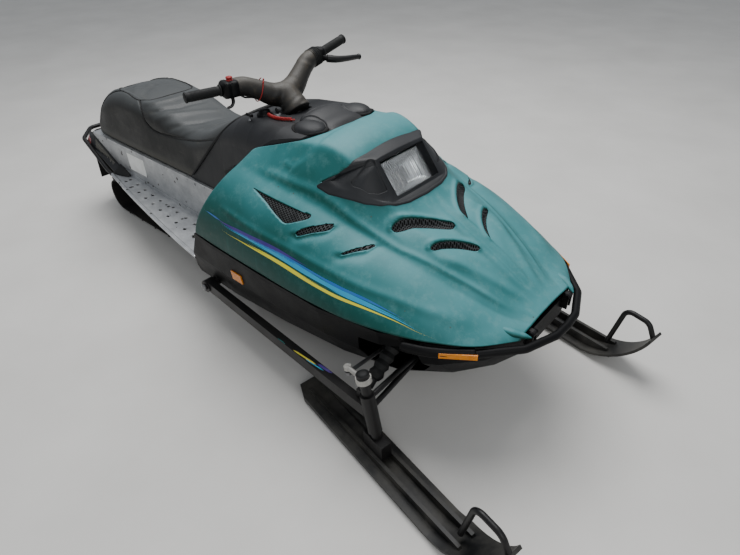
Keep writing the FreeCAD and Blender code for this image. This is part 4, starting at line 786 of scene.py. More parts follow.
# Openings on one side: outline and the axis it is seen along; then from where to where a cut reaches
OPENINGS = [(slot_outline(*vent), 2) for vent in TOP_VENTS]
OPENINGS += [(slot_outline(*vent), 1) for vent in SIDE_VENTS] + [(rounded(SIDE_MESH, 14), 1)]
CUT_REACH = {2: (500, 900), 1: (240, 480)}
# Half outline of the lamp pod in plan, and the place on the throat that each point leads to
POD_OUTLINE = ((600, 0, 654, 0), (601, 110, 654, 88), (594, 187, 654, 112), (563, 228, 658, 112),
               (516, 266, 664, 112), (566, 261, 672, 112), (615, 240, 682, 112), (677, 209, 700, 112),
               (717, 180, 720, 112), (747, 142, 731, 112), (762, 89, 731, 80), (768, 0, 731, 0))
POD_MIDDLE = np.array([672.0, 0.0])
POD_CUT_SHARE = 0.94


def full_outline(half):
    """A closed outline from its half on the +Y side."""
    half = np.asarray(half, float)
    other = half[::-1][1:-1].copy()
    other[:, 1::2] *= -1
    return np.concatenate([half, other])


def make_hood():
    """The skin, thickened inwards, less the openings on both sides and a hole under the lamp pod."""
    hood = sheet_piece("hood_shell", SKIN, "hood", HOOD_PAINT, replaces=["hood"], slot="hood_paint")
    modifier(hood, "SOLIDIFY", thickness=HOOD_WALL * MM, offset=-1.0)
    apply_modifiers(hood)
    cuts = [prism(outline, axis, *CUT_REACH[axis]) for outline, axis in OPENINGS]
    below_pod = POD_MIDDLE + (full_outline(POD_OUTLINE)[:, :2] - POD_MIDDLE) * POD_CUT_SHARE
    cut_by(hood, mirrored(cuts) + [prism(below_pod, 2, 500, 1000)])
    print("hood triangles", sum(len(p.vertices) - 2 for p in hood.data.polygons))


make_hood()

# %% [markdown]
# Other pieces lie on the hood and need its place. A search tree over the skin's faces answers where a
# straight line meets it, one line at a time. A Shrinkwrap modifier could do it too, but it would pull thin
# strips together at the vents.

# %% Finding the skin
def search_tree(grid, **closed):
    """A tree for rays against a grid of points, in millimetres."""
    faces = grid_faces(*grid.shape[:2], **closed).tolist()
    return BVHTree.FromPolygons([Vector(p) for p in grid.reshape(-1, 3)], faces)


def node_tree(name):
    """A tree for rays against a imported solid, in millimetres."""
    obj = bpy.data.objects[name]
    points = [obj.matrix_world @ v.co / MM for v in obj.data.vertices]
    return BVHTree.FromPolygons(points, [list(p.vertices) for p in obj.data.polygons])


def meet(tree, start, direction, lift=0.0):
    """Where a ray first meets the surface, lifted along its normal towards the ray's start, or None."""
    place, normal, _, _ = tree.ray_cast(Vector(start), Vector(direction))
    if place is None:
        return None
    if normal.dot(Vector(direction)) > 0:
        normal = -normal
    return np.array(place) + np.array(normal) * lift


def from_above(tree, x, y, lift=0.0, start=1500):
    """The place on a piece seen from above at x and y."""
    return meet(tree, (x, y, start), (0, 0, -1), lift)


def from_side(tree, side, x, z, lift=0.0):
    """The place on a piece seen from one side at x and z."""
    return meet(tree, (x, side * 900, z), (0, -side, 0), lift)


HOOD_TREE = search_tree(SKIN)


def hood_height(x, y):
    """Height of the hood's skin at a place in plan."""
    found = from_above(HOOD_TREE, x, y)
    return HOOD_FOOT_Z if found is None else found[2]


print("hood top over the lamp", round(hood_height(560, 0), 1))

# %% [markdown]
# ## The lamp pod
# A dark moulding frames the lamp: wide wings that lie on the hood, a raised rim, a shallow recess on each
# side, and a deep square throat with the glass at its bottom. Rings run from the outer outline to the
# throat. Boxes joined by a Boolean would not give the soft sweep between the two.

# %% Lamp pod
POD_AROUND, POD_RINGS = 640, 80
POD_RECESS = ((611, 203), (621, 181), (629, 134), (640, 125), (707, 133), (696, 163), (671, 187), (624, 207))
RECESS_DEPTH = 9.0
THROAT_REAR, THROAT_FRONT = (654.0, 815.0), (731.0, 717.0)
THROAT_DEPTH = 46.0
THROAT_INTO = unit((THROAT_FRONT[1] - THROAT_REAR[1], 0, THROAT_REAR[0] - THROAT_FRONT[0]))


def ring_points(outline, count, radius):
    """Evenly spread points round a polygon whose corners are softened."""
    soft = rounded(outline, radius, 8)
    closed = np.vstack([soft, soft[:1]])
    run = run_along(closed)
    t = np.linspace(0, run[-1], count, endpoint=False)
    return np.stack([np.interp(t, run, closed[:, i]) for i in range(closed.shape[1])], -1)


def inside_distance(points, polygon):
    """How far inside a polygon each point lies: a ray from inside crosses it an odd number of times."""
    polygon = np.asarray(polygon, float)
    closed = np.vstack([polygon, polygon[:1]])
    distance, _ = line_distance(points, closed)
    inside = np.zeros(points.shape[:-1], bool)
    for a, b in zip(closed, closed[1:]):
        crosses = (a[1] > points[..., 1]) != (b[1] > points[..., 1])
        with np.errstate(divide="ignore", invalid="ignore"):
            at = (b[0] - a[0]) * (points[..., 1] - a[1]) / (b[1] - a[1]) + a[0]
        inside ^= crosses & (points[..., 0] < at)
    return np.where(inside, distance, -distance)


def make_pod():
    """Heights run from 3 mm over the hood at the border to 6 mm over the throat's plane. A soft maximum,
    f + (d + (d^2 + 16)^(1/2)) / 2 for a height d over a floor f, keeps the border above the hood."""
    ring = ring_points(full_outline(POD_OUTLINE), POD_AROUND, 9)
    outer, inner = ring[:, :2], ring[:, 2:]
    (xa, za), (xb, zb) = THROAT_REAR, THROAT_FRONT
    share = np.linspace(0, 1, POD_RINGS)[:, None]
    plans = outer + (inner - outer) * share[..., None]
    on_hood = np.array([[hood_height(x, y) for x, y in plan] for plan in plans])
    edge = on_hood[0] + 3
    plane = za + (zb - za) * np.clip((plans[..., 0] - xa) / (xb - xa), -0.08, 1.08)
    heights = edge + (plane + 6.0 - edge) * share + 3.0 * np.sin(math.pi * share)
    floors = on_hood + 3.0 - 45.0 * smoothstep(share, 0.14, 0.4)
    proud = heights - floors
    heights = floors + (proud + np.sqrt(proud**2 + 16.0)) / 2
    for _ in range(12):
        heights[1:-1] = soften(soften(heights, 1, closed=True).T, 1).T[1:-1]
    heights = np.maximum(heights, floors - 1.5)
    side = np.stack([plans[..., 0], np.abs(plans[..., 1])], -1)
    heights -= RECESS_DEPTH * smoothstep(inside_distance(side, rounded(POD_RECESS, 7)), -0.8, 1.2)
    rows = np.concatenate([plans, heights[..., None]], -1)
    lip = rows[-1]
    middle = np.array([(xa + xb) / 2, 0, lip[:, 2].mean()])
    walls = [lip + THROAT_INTO * d + (middle - lip) * 0.03 * (d / THROAT_DEPTH)
             for d in (1.5, 8, 20, THROAT_DEPTH)]
    grid = np.stack([rows[0] - [0, 0, 6], *rows, *walls])
    sheet_piece("lamp_pod_shell", grid, "hood", POD_PLASTIC, close_cols=True, replaces=["lamp_pod"],
                slot="grey_plastic")
    print("throat ends at height", round(walls[-1][:, 2].min(), 1), "to", round(walls[-1][:, 2].max(), 1))


make_pod()

# %% [markdown]
# The lamp is a bright bowl behind a clear moulded lens. Real lenses carry upright flutes that spread the
# beam, so the glass gets them as ribs on its back, and blocks in its middle, because a flat pane with a
# bump would not bend the light as they do. A black shield stands before the bulb.

# %% Lamp
LAMP_HALF_WIDTH = 112.0
LENS_SETBACK = 26.0
LENS_THICKNESS = 3.5
LENS_ROWS, LENS_COLS = 30, 221
FLUTE_PITCH, FLUTE_HEIGHT = 9.0, 2.4
BLOCKS_HALF = 5.5
BOWL_DEPTH = 52.0
BULB_SHIELD = ((0, 0.01), (0, 12), (14, 12), (16, 24), (30, 24), (32, 22), (32.5, 0.01))


def make_glass():
    """Moulded glass: clear and smooth, with a faint film of dirt that dulls it in 30 mm patches."""
    mat, shader, place = new_material("moulded_clear_lens")
    film = patches(mat, place, 0.03, ((0.35, 0.02), (0.8, 0.12)))
    feed(shader, {"Base Color": "#f8fbfc", "Transmission Weight": 0.94, "IOR": 1.5, "Roughness": film})
    return mat


def make_bright_bowl():
    """Aluminium vapour on a moulded bowl: nearly a mirror, slightly clouded with age."""
    mat, shader, place = new_material("bright_reflector")
    clouded = patches(mat, place, 0.02, ((0.3, 0.1), (0.7, 0.22)), 3.0)
    feed(shader, {"Base Color": "#fdfdfd", "Metallic": 0.85, "Roughness": clouded})
    return mat


LENS_GLASS, BOWL_METAL = make_glass(), make_bright_bowl()


def lamp_grid(inset, rows, cols, shape):
    """A grid across the throat, set back along it, with a further setback that shape(u, v) gives."""
    (xa, za), (xb, zb) = THROAT_REAR, THROAT_FRONT
    u, v = np.meshgrid(np.linspace(0, 1, rows), np.linspace(-1, 1, cols), indexing="ij")
    slope = unit((xb - xa, 0, zb - za))
    along = inset + (math.hypot(xb - xa, zb - za) - 2 * inset) * u
    sideways = np.array([0, 1, 0]) * ((LAMP_HALF_WIDTH - inset) * v)[..., None]
    place = np.array([xa, 0, za]) + slope * along[..., None] + sideways
    return place + THROAT_INTO * (LENS_SETBACK + shape(u, v))[..., None]


def lens_front(u, v):
    """A shallow dome, -4 (1 - v^2)(1 - (2u - 1)^2), with saw-toothed blocks in the middle."""
    teeth = (v * BLOCKS_HALF) % 1 - 0.5
    blocks = FLUTE_HEIGHT * teeth * (np.abs(u - 0.5) < 0.30) * (np.abs(v) < 0.62)
    return -4.0 * (1 - v**2) * (1 - (2 * u - 1) ** 2) + blocks


def lens_back(u, v):
    """The front, set back by the glass, with flutes as half waves |sin| across it."""
    flutes = np.abs(np.sin(math.pi * v * LAMP_HALF_WIDTH / FLUTE_PITCH)) * (np.abs(v) < 0.94)
    return lens_front(u, v) + LENS_THICKNESS + FLUTE_HEIGHT * flutes


def bowl_shape(u, v):
    """A squarish bowl: its depth is d (1 - |2u - 1|^2.6)^(1/2) (1 - v^4)^(1/2)."""
    return BOWL_DEPTH * (1 - np.abs(2 * u - 1) ** 2.6) ** 0.5 * (1 - np.abs(v) ** 4) ** 0.5 + 5


def make_lamp():
    """Front and back of the glass joined round their border, the bowl, and the bulb's turned shield."""
    front = lamp_grid(1.5, LENS_ROWS, LENS_COLS, lens_front)
    back = lamp_grid(1.5, LENS_ROWS, LENS_COLS, lens_back)
    faces = grid_faces(LENS_ROWS, LENS_COLS)
    index = np.arange(LENS_ROWS * LENS_COLS).reshape(LENS_ROWS, LENS_COLS)
    border = np.concatenate([index[0], index[1:, -1], index[-1, -2::-1], index[-2:0:-1, 0]])
    after, half = np.roll(border, -1), index.size
    rim = np.stack([border, after, after + half, border + half], -1)
    faces = faces.tolist() + (faces[:, ::-1] + half).tolist() + rim.tolist()
    points = np.concatenate([front.reshape(-1, 3), back.reshape(-1, 3)])
    closed_piece("lens_moulding", [(points, faces)], "hood", LENS_GLASS, replaces=["headlamp_lens"],
                 slot="clear_lens")
    sheet_piece("lamp_bowl", lamp_grid(1.0, 40, 90, bowl_shape), "hood", BOWL_METAL,
                replaces=["headlamp_housing"], slot="lamp_reflector")
    middle = lamp_grid(1.0, 3, 3, lambda u, v: 0 * u + 34)[1, 1]
    shield = lathe(BULB_SHIELD, middle + THROAT_INTO * 18, -THROAT_INTO, 24)
    capped("lamp_bulb_shield", shield, "hood", BLACK_ENAMEL, slot="black_plastic")
    print("lens quads", len(faces))


make_lamp()

# %% [markdown]
# Behind the vents lies black expanded mesh with six-sided holes. Each cell is a flat ring of six quads, so
# neighbours share their strands. The sheet lies just under the skin, with black foam behind it. A pattern
# with see-through holes would be lighter, but its strands would have no real edges.

# %% Vent mesh
MESH_CELL = 7.5
MESH_STRAND = 2.1
MESH_DEPTH = {2: 5.0, 1: 6.0}
FOAM_DEPTH = 16.0


def hexagon_rings(polygon, grow):
    """Six-sided cells over a polygon: columns 3^(1/2) / 2 of a cell apart, every other one half a cell up."""
    polygon = np.asarray(polygon, float)
    low, high = polygon.min(0) - grow, polygon.max(0) + grow
    dx, dy = MESH_CELL * math.sqrt(3) / 2, MESH_CELL
    columns = np.arange(low[0], high[0] + dx, dx)
    rows = np.arange(low[1], high[1] + dy, dy)
    centres = np.array([(x, y + (i % 2) * dy / 2) for i, x in enumerate(columns) for y in rows])
    centres = centres[inside_distance(centres, polygon) > -grow]
    angle = np.radians(np.arange(6) * 60)
    ring = np.stack([np.cos(angle), np.sin(angle)], -1) * MESH_CELL / math.sqrt(3)
    small = ring * (1 - MESH_STRAND / MESH_CELL)
    return centres[:, None] + np.concatenate([ring, small])[None]


def mesh_sheet(cells, lift):
    """Cells in a plane become points in space through lift, and quads between the outer and inner rings."""
    points = np.array([lift(a, b) for a, b in cells.reshape(-1, 2)])
    k = np.arange(6)
    quad = np.stack([k, (k + 1) % 6, (k + 1) % 6 + 6, k + 6], -1)
    faces = (quad[None] + 12 * np.arange(len(cells))[:, None, None]).reshape(-1, 4)
    return points, faces


def under_skin(axis, a, b, depth):
    """A point so far inside the hood's skin, seen along Z at x and y, or along Y from the left at x and z."""
    if axis == 2:
        return np.array([a, b, hood_height(a, b) - depth])
    found = from_side(HOOD_TREE, 1, a, b)
    return np.array([a, (300.0 if found is None else found[1]) - depth, b])


def make_vent_mesh():
    """Cells over each opening and 3 mm beyond it, laid under the skin on the left and mirrored."""
    parts = []
    for outline, axis in OPENINGS:
        cells = hexagon_rings(outline, 3.0)
        points, faces = mesh_sheet(cells, lambda a, b: under_skin(axis, a, b, MESH_DEPTH[axis]))
        parts += [(points * [1, side, 1], faces[:, ::side].tolist()) for side, _ in SIDES]
    piece("vent_mesh", *joined(parts), "hood", MESH_STEEL, replaces=["vent_grilles"], slot="black_plastic",
          smooth=False)
    print("vent mesh cells", sum(len(faces) for _, faces in parts) // 6)


def make_vent_foam():
    """A sheet of foam behind each mesh, over the opening and 12 mm round it, 16 mm inside the skin."""
    for number, (outline, axis) in enumerate([*OPENINGS[:-1], (np.array(SIDE_MESH), 1)]):
        low, high = outline.min(0) - 12, outline.max(0) + 12
        a, b = np.meshgrid(np.linspace(low[0], high[0], 40), np.linspace(low[1], high[1], 24), indexing="ij")
        grid = np.array([[under_skin(axis, p, q, FOAM_DEPTH) for p, q in zip(*row)] for row in zip(a, b)])
        for side, name in SIDES:
            sheet_piece(f"vent_foam_{name}_{number}", (grid * [1, side, 1])[:, ::side], "hood", FOAM,
                        slot="black_plastic")


make_vent_mesh()
make_vent_foam()

# %% [markdown]
# The stripes are thin printed films on the flank: tapering strips of purple, blue, cyan and yellow. Each
# strip is a slim grid between two heights, thrown sideways on to the skin and lifted off it by 0.6 mm. A
# pattern in the hood's paint would give them less sharp edges.

# %% Stripes
# The whole band: x, upper z, lower z
BAND = ((84, 590, 584), (130, 589, 566), (200, 586, 549), (330, 588, 545), (480, 587, 538), (614, 574, 523),
        (730, 561, 513), (833, 545, 507), (932, 518, 494), (1027, 486, 474), (1085, 466, 462))
# Colour, first x, last x, lower and upper edge as shares of the band, and where it is widest
STRIPES = (
    ("blue", 88, 200, 0.80, 1.00, 0.5), ("purple", 140, 640, 0.74, 1.00, 0.45),
    ("cyan", 190, 700, 0.56, 0.70, 0.6), ("blue", 160, 820, 0.64, 0.80, 0.5),
    ("cyan", 330, 1010, 0.40, 0.62, 0.5), ("blue", 620, 985, 0.62, 0.78, 0.4),
    ("yellow", 185, 1084, 0.04, 0.23, 0.5), ("yellow", 330, 700, 0.22, 0.30, 0.4),
    ("cyan", 700, 1030, 0.30, 0.44, 0.5),
)
STRIPE_COLOURS = {"cyan": ("#1b98c6", "#3aa3c2"), "blue": ("#1f63ae", "#3a77aa"),
                  "purple": ("#35207c", "#4d3f86"), "yellow": ("#e6dc22", "#d6cf52")}
FILM_LIFT = 0.6


def make_film(name, fresh, faded):
    """Printed vinyl film: matt, and faded by up to 0.8 in clouds of about 50 mm."""
    mat, shader, place = new_material("printed_film_" + name)
    cloud = patches(mat, place, 0.05, ((0.4, 0), (0.8, 0.8)), 6.0)
    base = add(mat, "Mix", cloud, fresh, faded)
    feed(shader, {"Base Color": base, "Roughness": 0.42})
    return mat


def stripe(side, x0, x1, low, high, widest):
    """One strip. Its width grows up to the share `widest` of its length and shrinks, both by a soft S."""
    x = np.linspace(x0, x1, int((x1 - x0) / 8))
    upper, lower = smooth_table(BAND, x).T
    t = (x - x0) / (x1 - x0)
    width = np.minimum(smoothstep(t / widest * 1.3), smoothstep((1 - t) / (1 - widest) * 1.3))
    at = low + (high - low) * (0.5 + np.linspace(-0.5, 0.5, 4)[:, None] * width)
    z = lower + (upper - lower) * at
    grid = np.array([[from_side(HOOD_TREE, side, a, b, FILM_LIFT) for a, b in zip(x, row)] for row in z])
    return grid.reshape(-1, 3), grid_faces(*grid.shape[:2])[:, ::side].tolist()


def make_stripes():
    """One piece for each colour on each side."""
    films = {name: make_film(name, *pair) for name, pair in STRIPE_COLOURS.items()}
    for side, side_name in SIDES:
        for name, film in films.items():
            parts = [stripe(side, *row) for colour, *row in STRIPES if colour == name]
            piece(f"stripe_{name}_{side_name}", *joined(parts), "hood", film, slot="hood_paint")


make_stripes()
print("stripes", len(STRIPES), "a side")


# %% [markdown]
# ## The seat
# The seat is foam under vinyl. Its section is a straight side, a rounded shoulder and a slightly crowned
# top. Its front end lies on a leaning plane against the console. A cloth simulation could drape the cover,
# but its folds would fall by chance.

# %% Seat tables
# x, foot y, side y, side z, top y, top z
SEAT_STATIONS = (
    (-1288, 165, 160, 488, 120, 500), (-1245, 176, 178, 520, 130, 566), (-1170, 186, 186, 590, 130, 662),
    (-1081, 190, 188, 640, 128, 720), (-960, 192, 186, 668, 126, 746), (-800, 192, 182, 672, 120, 742),
    (-640, 192, 176, 640, 112, 722), (-500, 192, 174, 612, 104, 690), (-380, 192, 178, 606, 100, 678),
    (-290, 192, 182, 622, 104, 696), (-200, 194, 184, 660, 110, 735), (-110, 200, 184, 702, 114, 780),
    (-40, 210, 186, 730, 118, 806),
)
SEAT_BOTTOM = 481.5
SEAT_ROWS, SEAT_COLS = 250, 110
FRONT_FOOT, FRONT_LEAN = (-400.0, 481), 1.10
# Seams on the right half, as x, y, z
PAD_SEAM = ((-1092, 0, 728), (-1080, 72, 724), (-1015, 122, 738), (-900, 136, 744), (-800, 140, 738),
            (-752, 112, 736), (-734, 60, 736), (-728, 0, 736))
SIDE_SEAM = ((-800, 140, 738), (-770, 158, 720), (-742, 172, 694), (-716, 179, 657), (-679, 179, 634),
             (-613, 176, 627), (-508, 172, 635), (-398, 170, 652), (-279, 172, 680), (-150, 182, 716))
REAR_SEAM = ((-1205, 184, 560), (-1150, 178, 650), (-1080, 158, 704), (-1000, 136, 738), (-960, 128, 742))
SEAT_SEAMS = (PAD_SEAM, SIDE_SEAM, REAR_SEAM)
# Folds: height, width, and a line as x, y, z
SEAT_FOLDS = (
    (3.5, 15, ((-765, 150, 722), (-700, 115, 731), (-682, 58, 729), (-676, -40, 728), (-690, -110, 728))),
    (-3.5, 13, ((-690, 165, 700), (-640, 140, 716), (-600, 60, 714), (-590, -60, 712), (-620, -150, 705))),
    (3.0, 16, ((-650, 172, 670), (-585, 140, 703), (-541, 50, 699), (-500, -60, 690), (-500, -150, 670))),
    (-3.0, 14, ((-560, 172, 650), (-496, 140, 679), (-440, 60, 685), (-400, -60, 679))),
    (2.5, 15, ((-460, 170, 650), (-389, 110, 677), (-330, 20, 684), (-300, -90, 690))),
    (-3.0, 16, ((-820, 110, 742), (-880, 40, 744), (-930, -40, 745), (-1000, -90, 740))),
    (3.0, 18, ((-860, 130, 740), (-960, 60, 745), (-1040, -20, 735))),
    (-2.5, 15, ((-760, -110, 738), (-840, -60, 744), (-900, 10, 746), (-960, 90, 744))),
)
FOLD_GAIN = 1.7
# Shares of the half section at the foot, at the side and at the edge of the top
FOOT_V, SIDE_V, TOP_V = 0.25, 0.5, 0.78


def seat_section(x, v):
    """Half section: v runs from 0 under the middle by the foot, the side and the shoulder to 1 on top."""
    foot, side_y, side_z, top_y, top_z = np.moveaxis(smooth_table(SEAT_STATIONS, x), -1, 0)
    under = np.clip(v / FOOT_V, 0, 1)
    up = np.clip((v - FOOT_V) / (SIDE_V - FOOT_V), 0, 1)
    over = np.clip((v - TOP_V) / (1 - TOP_V), 0, 1)
    side, edge = (side_y, side_z), (top_y, top_z)
    bulge = circle_through(side, (side_y * 0.88, side_z + 0.72 * (top_z - side_z)), edge)
    yb, zb = arc_between(bulge, side, edge, np.clip((v - SIDE_V) / (TOP_V - SIDE_V), 0, 1))
    lowest = np.minimum(SEAT_BOTTOM, side_z - 4)
    parts = [v < FOOT_V, v < SIDE_V, v < TOP_V]
    y = np.select(parts, [foot * under, foot + (side_y - foot) * up, yb], top_y * (1 - over))
    crown = top_z + 7.0 * np.sin(over * math.pi / 2)
    z = np.select(parts, [lowest, lowest + (side_z - lowest) * up, zb], crown)
    return np.stack([x, y, z], -1)


def half_seat(rows):
    """Rows from the tail to the leaning front plane, columns from under the middle to the top's middle."""
    v = np.linspace(0, 1, SEAT_COLS)
    last = np.full(SEAT_COLS, -300.0)
    for _ in range(20):
        z = seat_section(last, v)[:, 2]
        last = 0.5 * last + 0.5 * (FRONT_FOOT[0] + FRONT_LEAN * (z - FRONT_FOOT[1]))
    tail = SEAT_STATIONS[0][0]
    x = tail + (last - tail) * np.linspace(0, 1, rows)[:, None]
    return soften(seat_section(x, np.broadcast_to(v, x.shape)), 5)


def whole_rings(half):
    """Closed rings from half rings whose first and last points are on the middle plane."""
    other = half[:, 1:-1][:, ::-1] * np.array([1, -1, 1])
    return np.concatenate([half, other], axis=1)


def ring_normals(grid):
    """Normals of a grid of closed rings, turned away from each ring's middle."""
    n = unit(np.cross(np.gradient(grid, axis=0), np.roll(grid, -1, 1) - np.roll(grid, 1, 1)))
    out = grid - grid.mean(1, keepdims=True)
    return n * np.sign((n * out).sum(-1).mean() or 1.0)


print("seat stations", len(SEAT_STATIONS), "seams", len(SEAT_SEAMS), "folds", len(SEAT_FOLDS))

# %% [markdown]
# Old vinyl is paler on top and darker on the steep sides. This is partly wear by the sun and riders' clothes
# and partly painted light: the top is lightened for the sky's light and sheen on it, and the sides are
# darkened for their shade. Pale streaks drawn out along the seat are scuffs and a painted sheen.
# Dust gathers low on the seat's side. The embossed grain is drawn at 2.2 mm, where the real one is about
# 1 mm, because a finer one would not show.


# %% Vinyl and thread
def make_vinyl(name, side, top, dust, roughness, dust_height=None):
    """The colour follows the normal's height plus 0.8 (cloud - 0.5), painted light on top and shade on the
    sides, and scuffs with a painted sheen and dust lie on it.
    """
    mat, shader, place = new_material(name)
    up = add(mat, "SeparateXYZ", add(mat, "TexCoord", out="Normal"), out="Z")
    cloud = add(mat, "TexNoise", Vector=place, Scale=1 / 0.13, Detail=6.0, Roughness=0.65)
    drift = add(mat, "Math", cloud, 0.5, operation="SUBTRACT")
    facing = add(mat, "Math", drift, 0.8, up, operation="MULTIPLY_ADD")
    # Painted light: the side colour stands for shade on the sides and the top colour for light and sheen on
    # top, over some real fading
    base = add(mat, "ValToRGB", facing, stops=((0.2, side), (1.0, top)))
    # Pale streaks drawn out along x: scuffs, and a painted sheen
    drawn = add(mat, "Mapping", Vector=place, Scale=(0.35, 1.0, 1.0))
    scuff_and_sheen = patches(mat, drawn, 0.03, ((0.55, 0), (0.78, 0.4)), 8.0, 0.75)
    base = add(mat, "Mix", scuff_and_sheen, base, dust)
    if dust_height:
        # Dust is thickest 36 mm below its upper limit
        height = add(mat, "SeparateXYZ", place, out="Z")
        below = add(mat, "Math", dust_height, height, operation="SUBTRACT")
        low = add(mat, "Math", below, 28.0, operation="MULTIPLY", use_clamp=True)
        uneven = add(mat, "Math", cloud, 0.9, operation="MULTIPLY")
        share = add(mat, "Math", low, uneven, operation="MULTIPLY")
        base = add(mat, "Mix", share, base, dust)
    worn = add(mat, "ValToRGB", cloud, stops=((0.3, roughness - 0.1), (0.75, roughness + 0.12)))
    cells = add(mat, "TexVoronoi", Vector=place, Scale=1 / 0.0022, out="Distance")
    grain = add(mat, "Bump", Height=cells, Distance=0.00025, Strength=0.5)
    soft = add(mat, "TexNoise", Vector=place, Scale=1 / 0.02, Detail=3.0, Roughness=0.55)
    relief = add(mat, "Bump", Height=soft, Distance=0.0012, Strength=0.35, Normal=grain)
    feed(shader, {"Base Color": base, "Roughness": worn, "Normal": relief})
    return mat


# Each vinyl's side and top colours hold painted light: shade on the sides, light and sheen on top
SEAT_VINYL = make_vinyl("seat_vinyl_faded_and_painted_light", "#0f0f0c", "#3a3d3e", "#57554c", 0.56, 0.53)
COVER_VINYL = make_vinyl("bar_cover_vinyl_worn_and_painted_light", "#11100e", "#3a352d", "#6b5b42", 0.55)
THREAD = make_moulding("waxed_black_thread", "#0b0b0b", "#2c2b29", 0.6)
print("vinyl", SEAT_VINYL.name, "and", COVER_VINYL.name)

# %% [markdown]
# The cover is pulled down along its seams, swells between them, and lies in soft folds where riders sit:
# each is a small height along the skin's normal, h = a exp(-(d / w)^2), where d is the distance to a line.
# Stitches are short threads of their own, because a bump could not stand proud of the skin.

# %% Seat
def make_seat():
    """Rings pushed out along their normals by swellings and folds, and in by seams, the pad's dip and sag."""
    grid = whole_rings(half_seat(SEAT_ROWS))
    normals = ring_normals(grid)
    mirror = np.stack([grid[..., 0], np.abs(grid[..., 1]), grid[..., 2]], -1)
    near = np.minimum.reduce([line_distance(mirror, seam)[0] for seam in SEAT_SEAMS])
    high = smoothstep(grid[..., 2], 492, 560)
    height = high * (4.2 * (1 - bell(near, 45.0)) - 5.0 * bell(near, 5.5))
    pad = np.array(PAD_SEAM + tuple((x, -y, z) for x, y, z in PAD_SEAM[::-1]))[:, :2]
    height -= 8.0 * smoothstep(inside_distance(mirror[..., :2], pad), -1, 16) * (grid[..., 2] > 690)
    for rise, width, line in SEAT_FOLDS:
        distance, along = line_distance(grid * np.array([1, -1, 1]), line)
        ends = np.sin(math.pi * np.clip(along, 0, 1)) ** 0.5
        height += FOLD_GAIN * rise * bell(distance, width) * ends * high
    # The foam sags a little where riders sit
    height -= 5.0 * bell(grid[..., 0] + 470, 150) * smoothstep(grid[..., 2], 600, 680)
    grid = grid + normals * height[..., None]
    seat = capped("seat_cover", grid, "chassis", SEAT_VINYL, replaces=["seat"], slot="vinyl")
    print("seat heights from", round(height.min(), 1), "to", round(height.max(), 1))
    return grid


SEAT_TREE = search_tree(make_seat(), close_cols=True)
SEAM_LINES = [np.array(seam) * [1, mirror, 1] for seam in SEAT_SEAMS for mirror in (1, -1)]
STITCH_PITCH, STITCH_ASIDE = 8.0, 4.0
# A stitch's sections: place along it as a share of half its length, and its radius
STITCH = ((-1, 0.35), (-0.6, 0.75), (0.6, 0.75), (1, 0.35))


def make_stitches():
    """Short raised threads along both sides of each seam: each is a small six-sided bar laid on the skin."""
    angle = np.arange(6)[:, None] * math.pi / 3
    half = STITCH_PITCH * 0.31
    parts = []
    for line in SEAM_LINES:
        path = smooth_path(line, max(int(run_along(line)[-1] / STITCH_PITCH), 4))
        for a, b in zip(path, path[1:]):
            place, normal, _, _ = SEAT_TREE.find_nearest(Vector((a + b) / 2))
            way, normal = unit(b - a), np.array(normal)
            across = unit(np.cross(way, normal))
            ring = across * np.cos(angle) + normal * np.sin(angle)
            for side in (-1, 1):
                middle = np.array(place) + across * side * STITCH_ASIDE + normal * 0.3
                rings = np.array([middle + way * half * along + ring * radius for along, radius in STITCH])
                parts.append(plugged_rings(rings))
    closed_piece("seat_stitches", parts, "chassis", THREAD, slot="vinyl")
    print("seat threads", len(parts))


def make_seam_shade_beads():
    """A dark bead at the bottom of each seam's groove: the cover's folded edge, darkened as painted shade of
    the groove.
    """
    parts = []
    for seam in SEAM_LINES:
        found = [SEAT_TREE.find_nearest(Vector(p)) for p in smooth_path(seam, 120)]
        path = np.array([np.array(place) + np.array(normal) * 0.4 for place, normal, _, _ in found])
        path = soften(path.T, 1).T
        rings = sweep(path, 2.3, 10)
        parts.append((rings.reshape(-1, 3), grid_faces(len(path), 10, close_cols=True).tolist()))
    # The beads' dark colour is painted shade in the seams' grooves
    closed_piece("seat_seams", parts, "chassis", THREAD, slot="vinyl")


def make_seat_edge():
    """A rubber edge over the joint with the console: a tube 6 mm outside the seat's front ring."""
    ring = half_seat(3)[-1][28:]
    path = np.concatenate([ring, ring[::-1][1:] * [1, -1, 1]])[4:-4:3]
    path = path + unit((path - [0, 0, 600]) * [0, 1, 1]) * 6 + [4, 0, 0]
    radius = 5.0 + 3.5 * np.sin(np.linspace(0, math.pi, len(path)))
    tube_piece("seat_edge_rubber", path, radius, "chassis", SOFT_RUBBER, 16, (1, 0, 0), slot="grey_plastic")


make_stitches()
make_seam_shade_beads()
make_seat_edge()

# %% [markdown]
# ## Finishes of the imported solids
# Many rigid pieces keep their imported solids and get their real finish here. Reflectors and the tail lamp
# are coloured moulded lenses, which look deep because a little light passes through them.


# %% Finishes
def make_lens(name, colour, deep):
    """Coloured moulded lens: a quarter see-through, with a fine moulded grid of 4 mm on its back."""
    mat, shader, place = new_material(name)
    film = patches(mat, place, 0.02, ((0.4, 0), (0.8, 0.7)), 6.0)
    base = add(mat, "Mix", film, colour, deep)
    cells = add(mat, "TexVoronoi", Vector=place, Scale=1 / 0.004, Randomness=0.0, out="Distance")
    relief = add(mat, "Bump", Height=cells, Distance=0.0008, Strength=0.6)
    feed(shader, {"Base Color": base, "Transmission Weight": 0.25, "Roughness": 0.22, "Normal": relief})
    return mat


AMBER_LENS = make_lens("amber_moulded_lens", "#f0941c", "#c4690f")
RED_LENS = make_lens("red_moulded_lens", "#8e1210", "#4e0a0a")
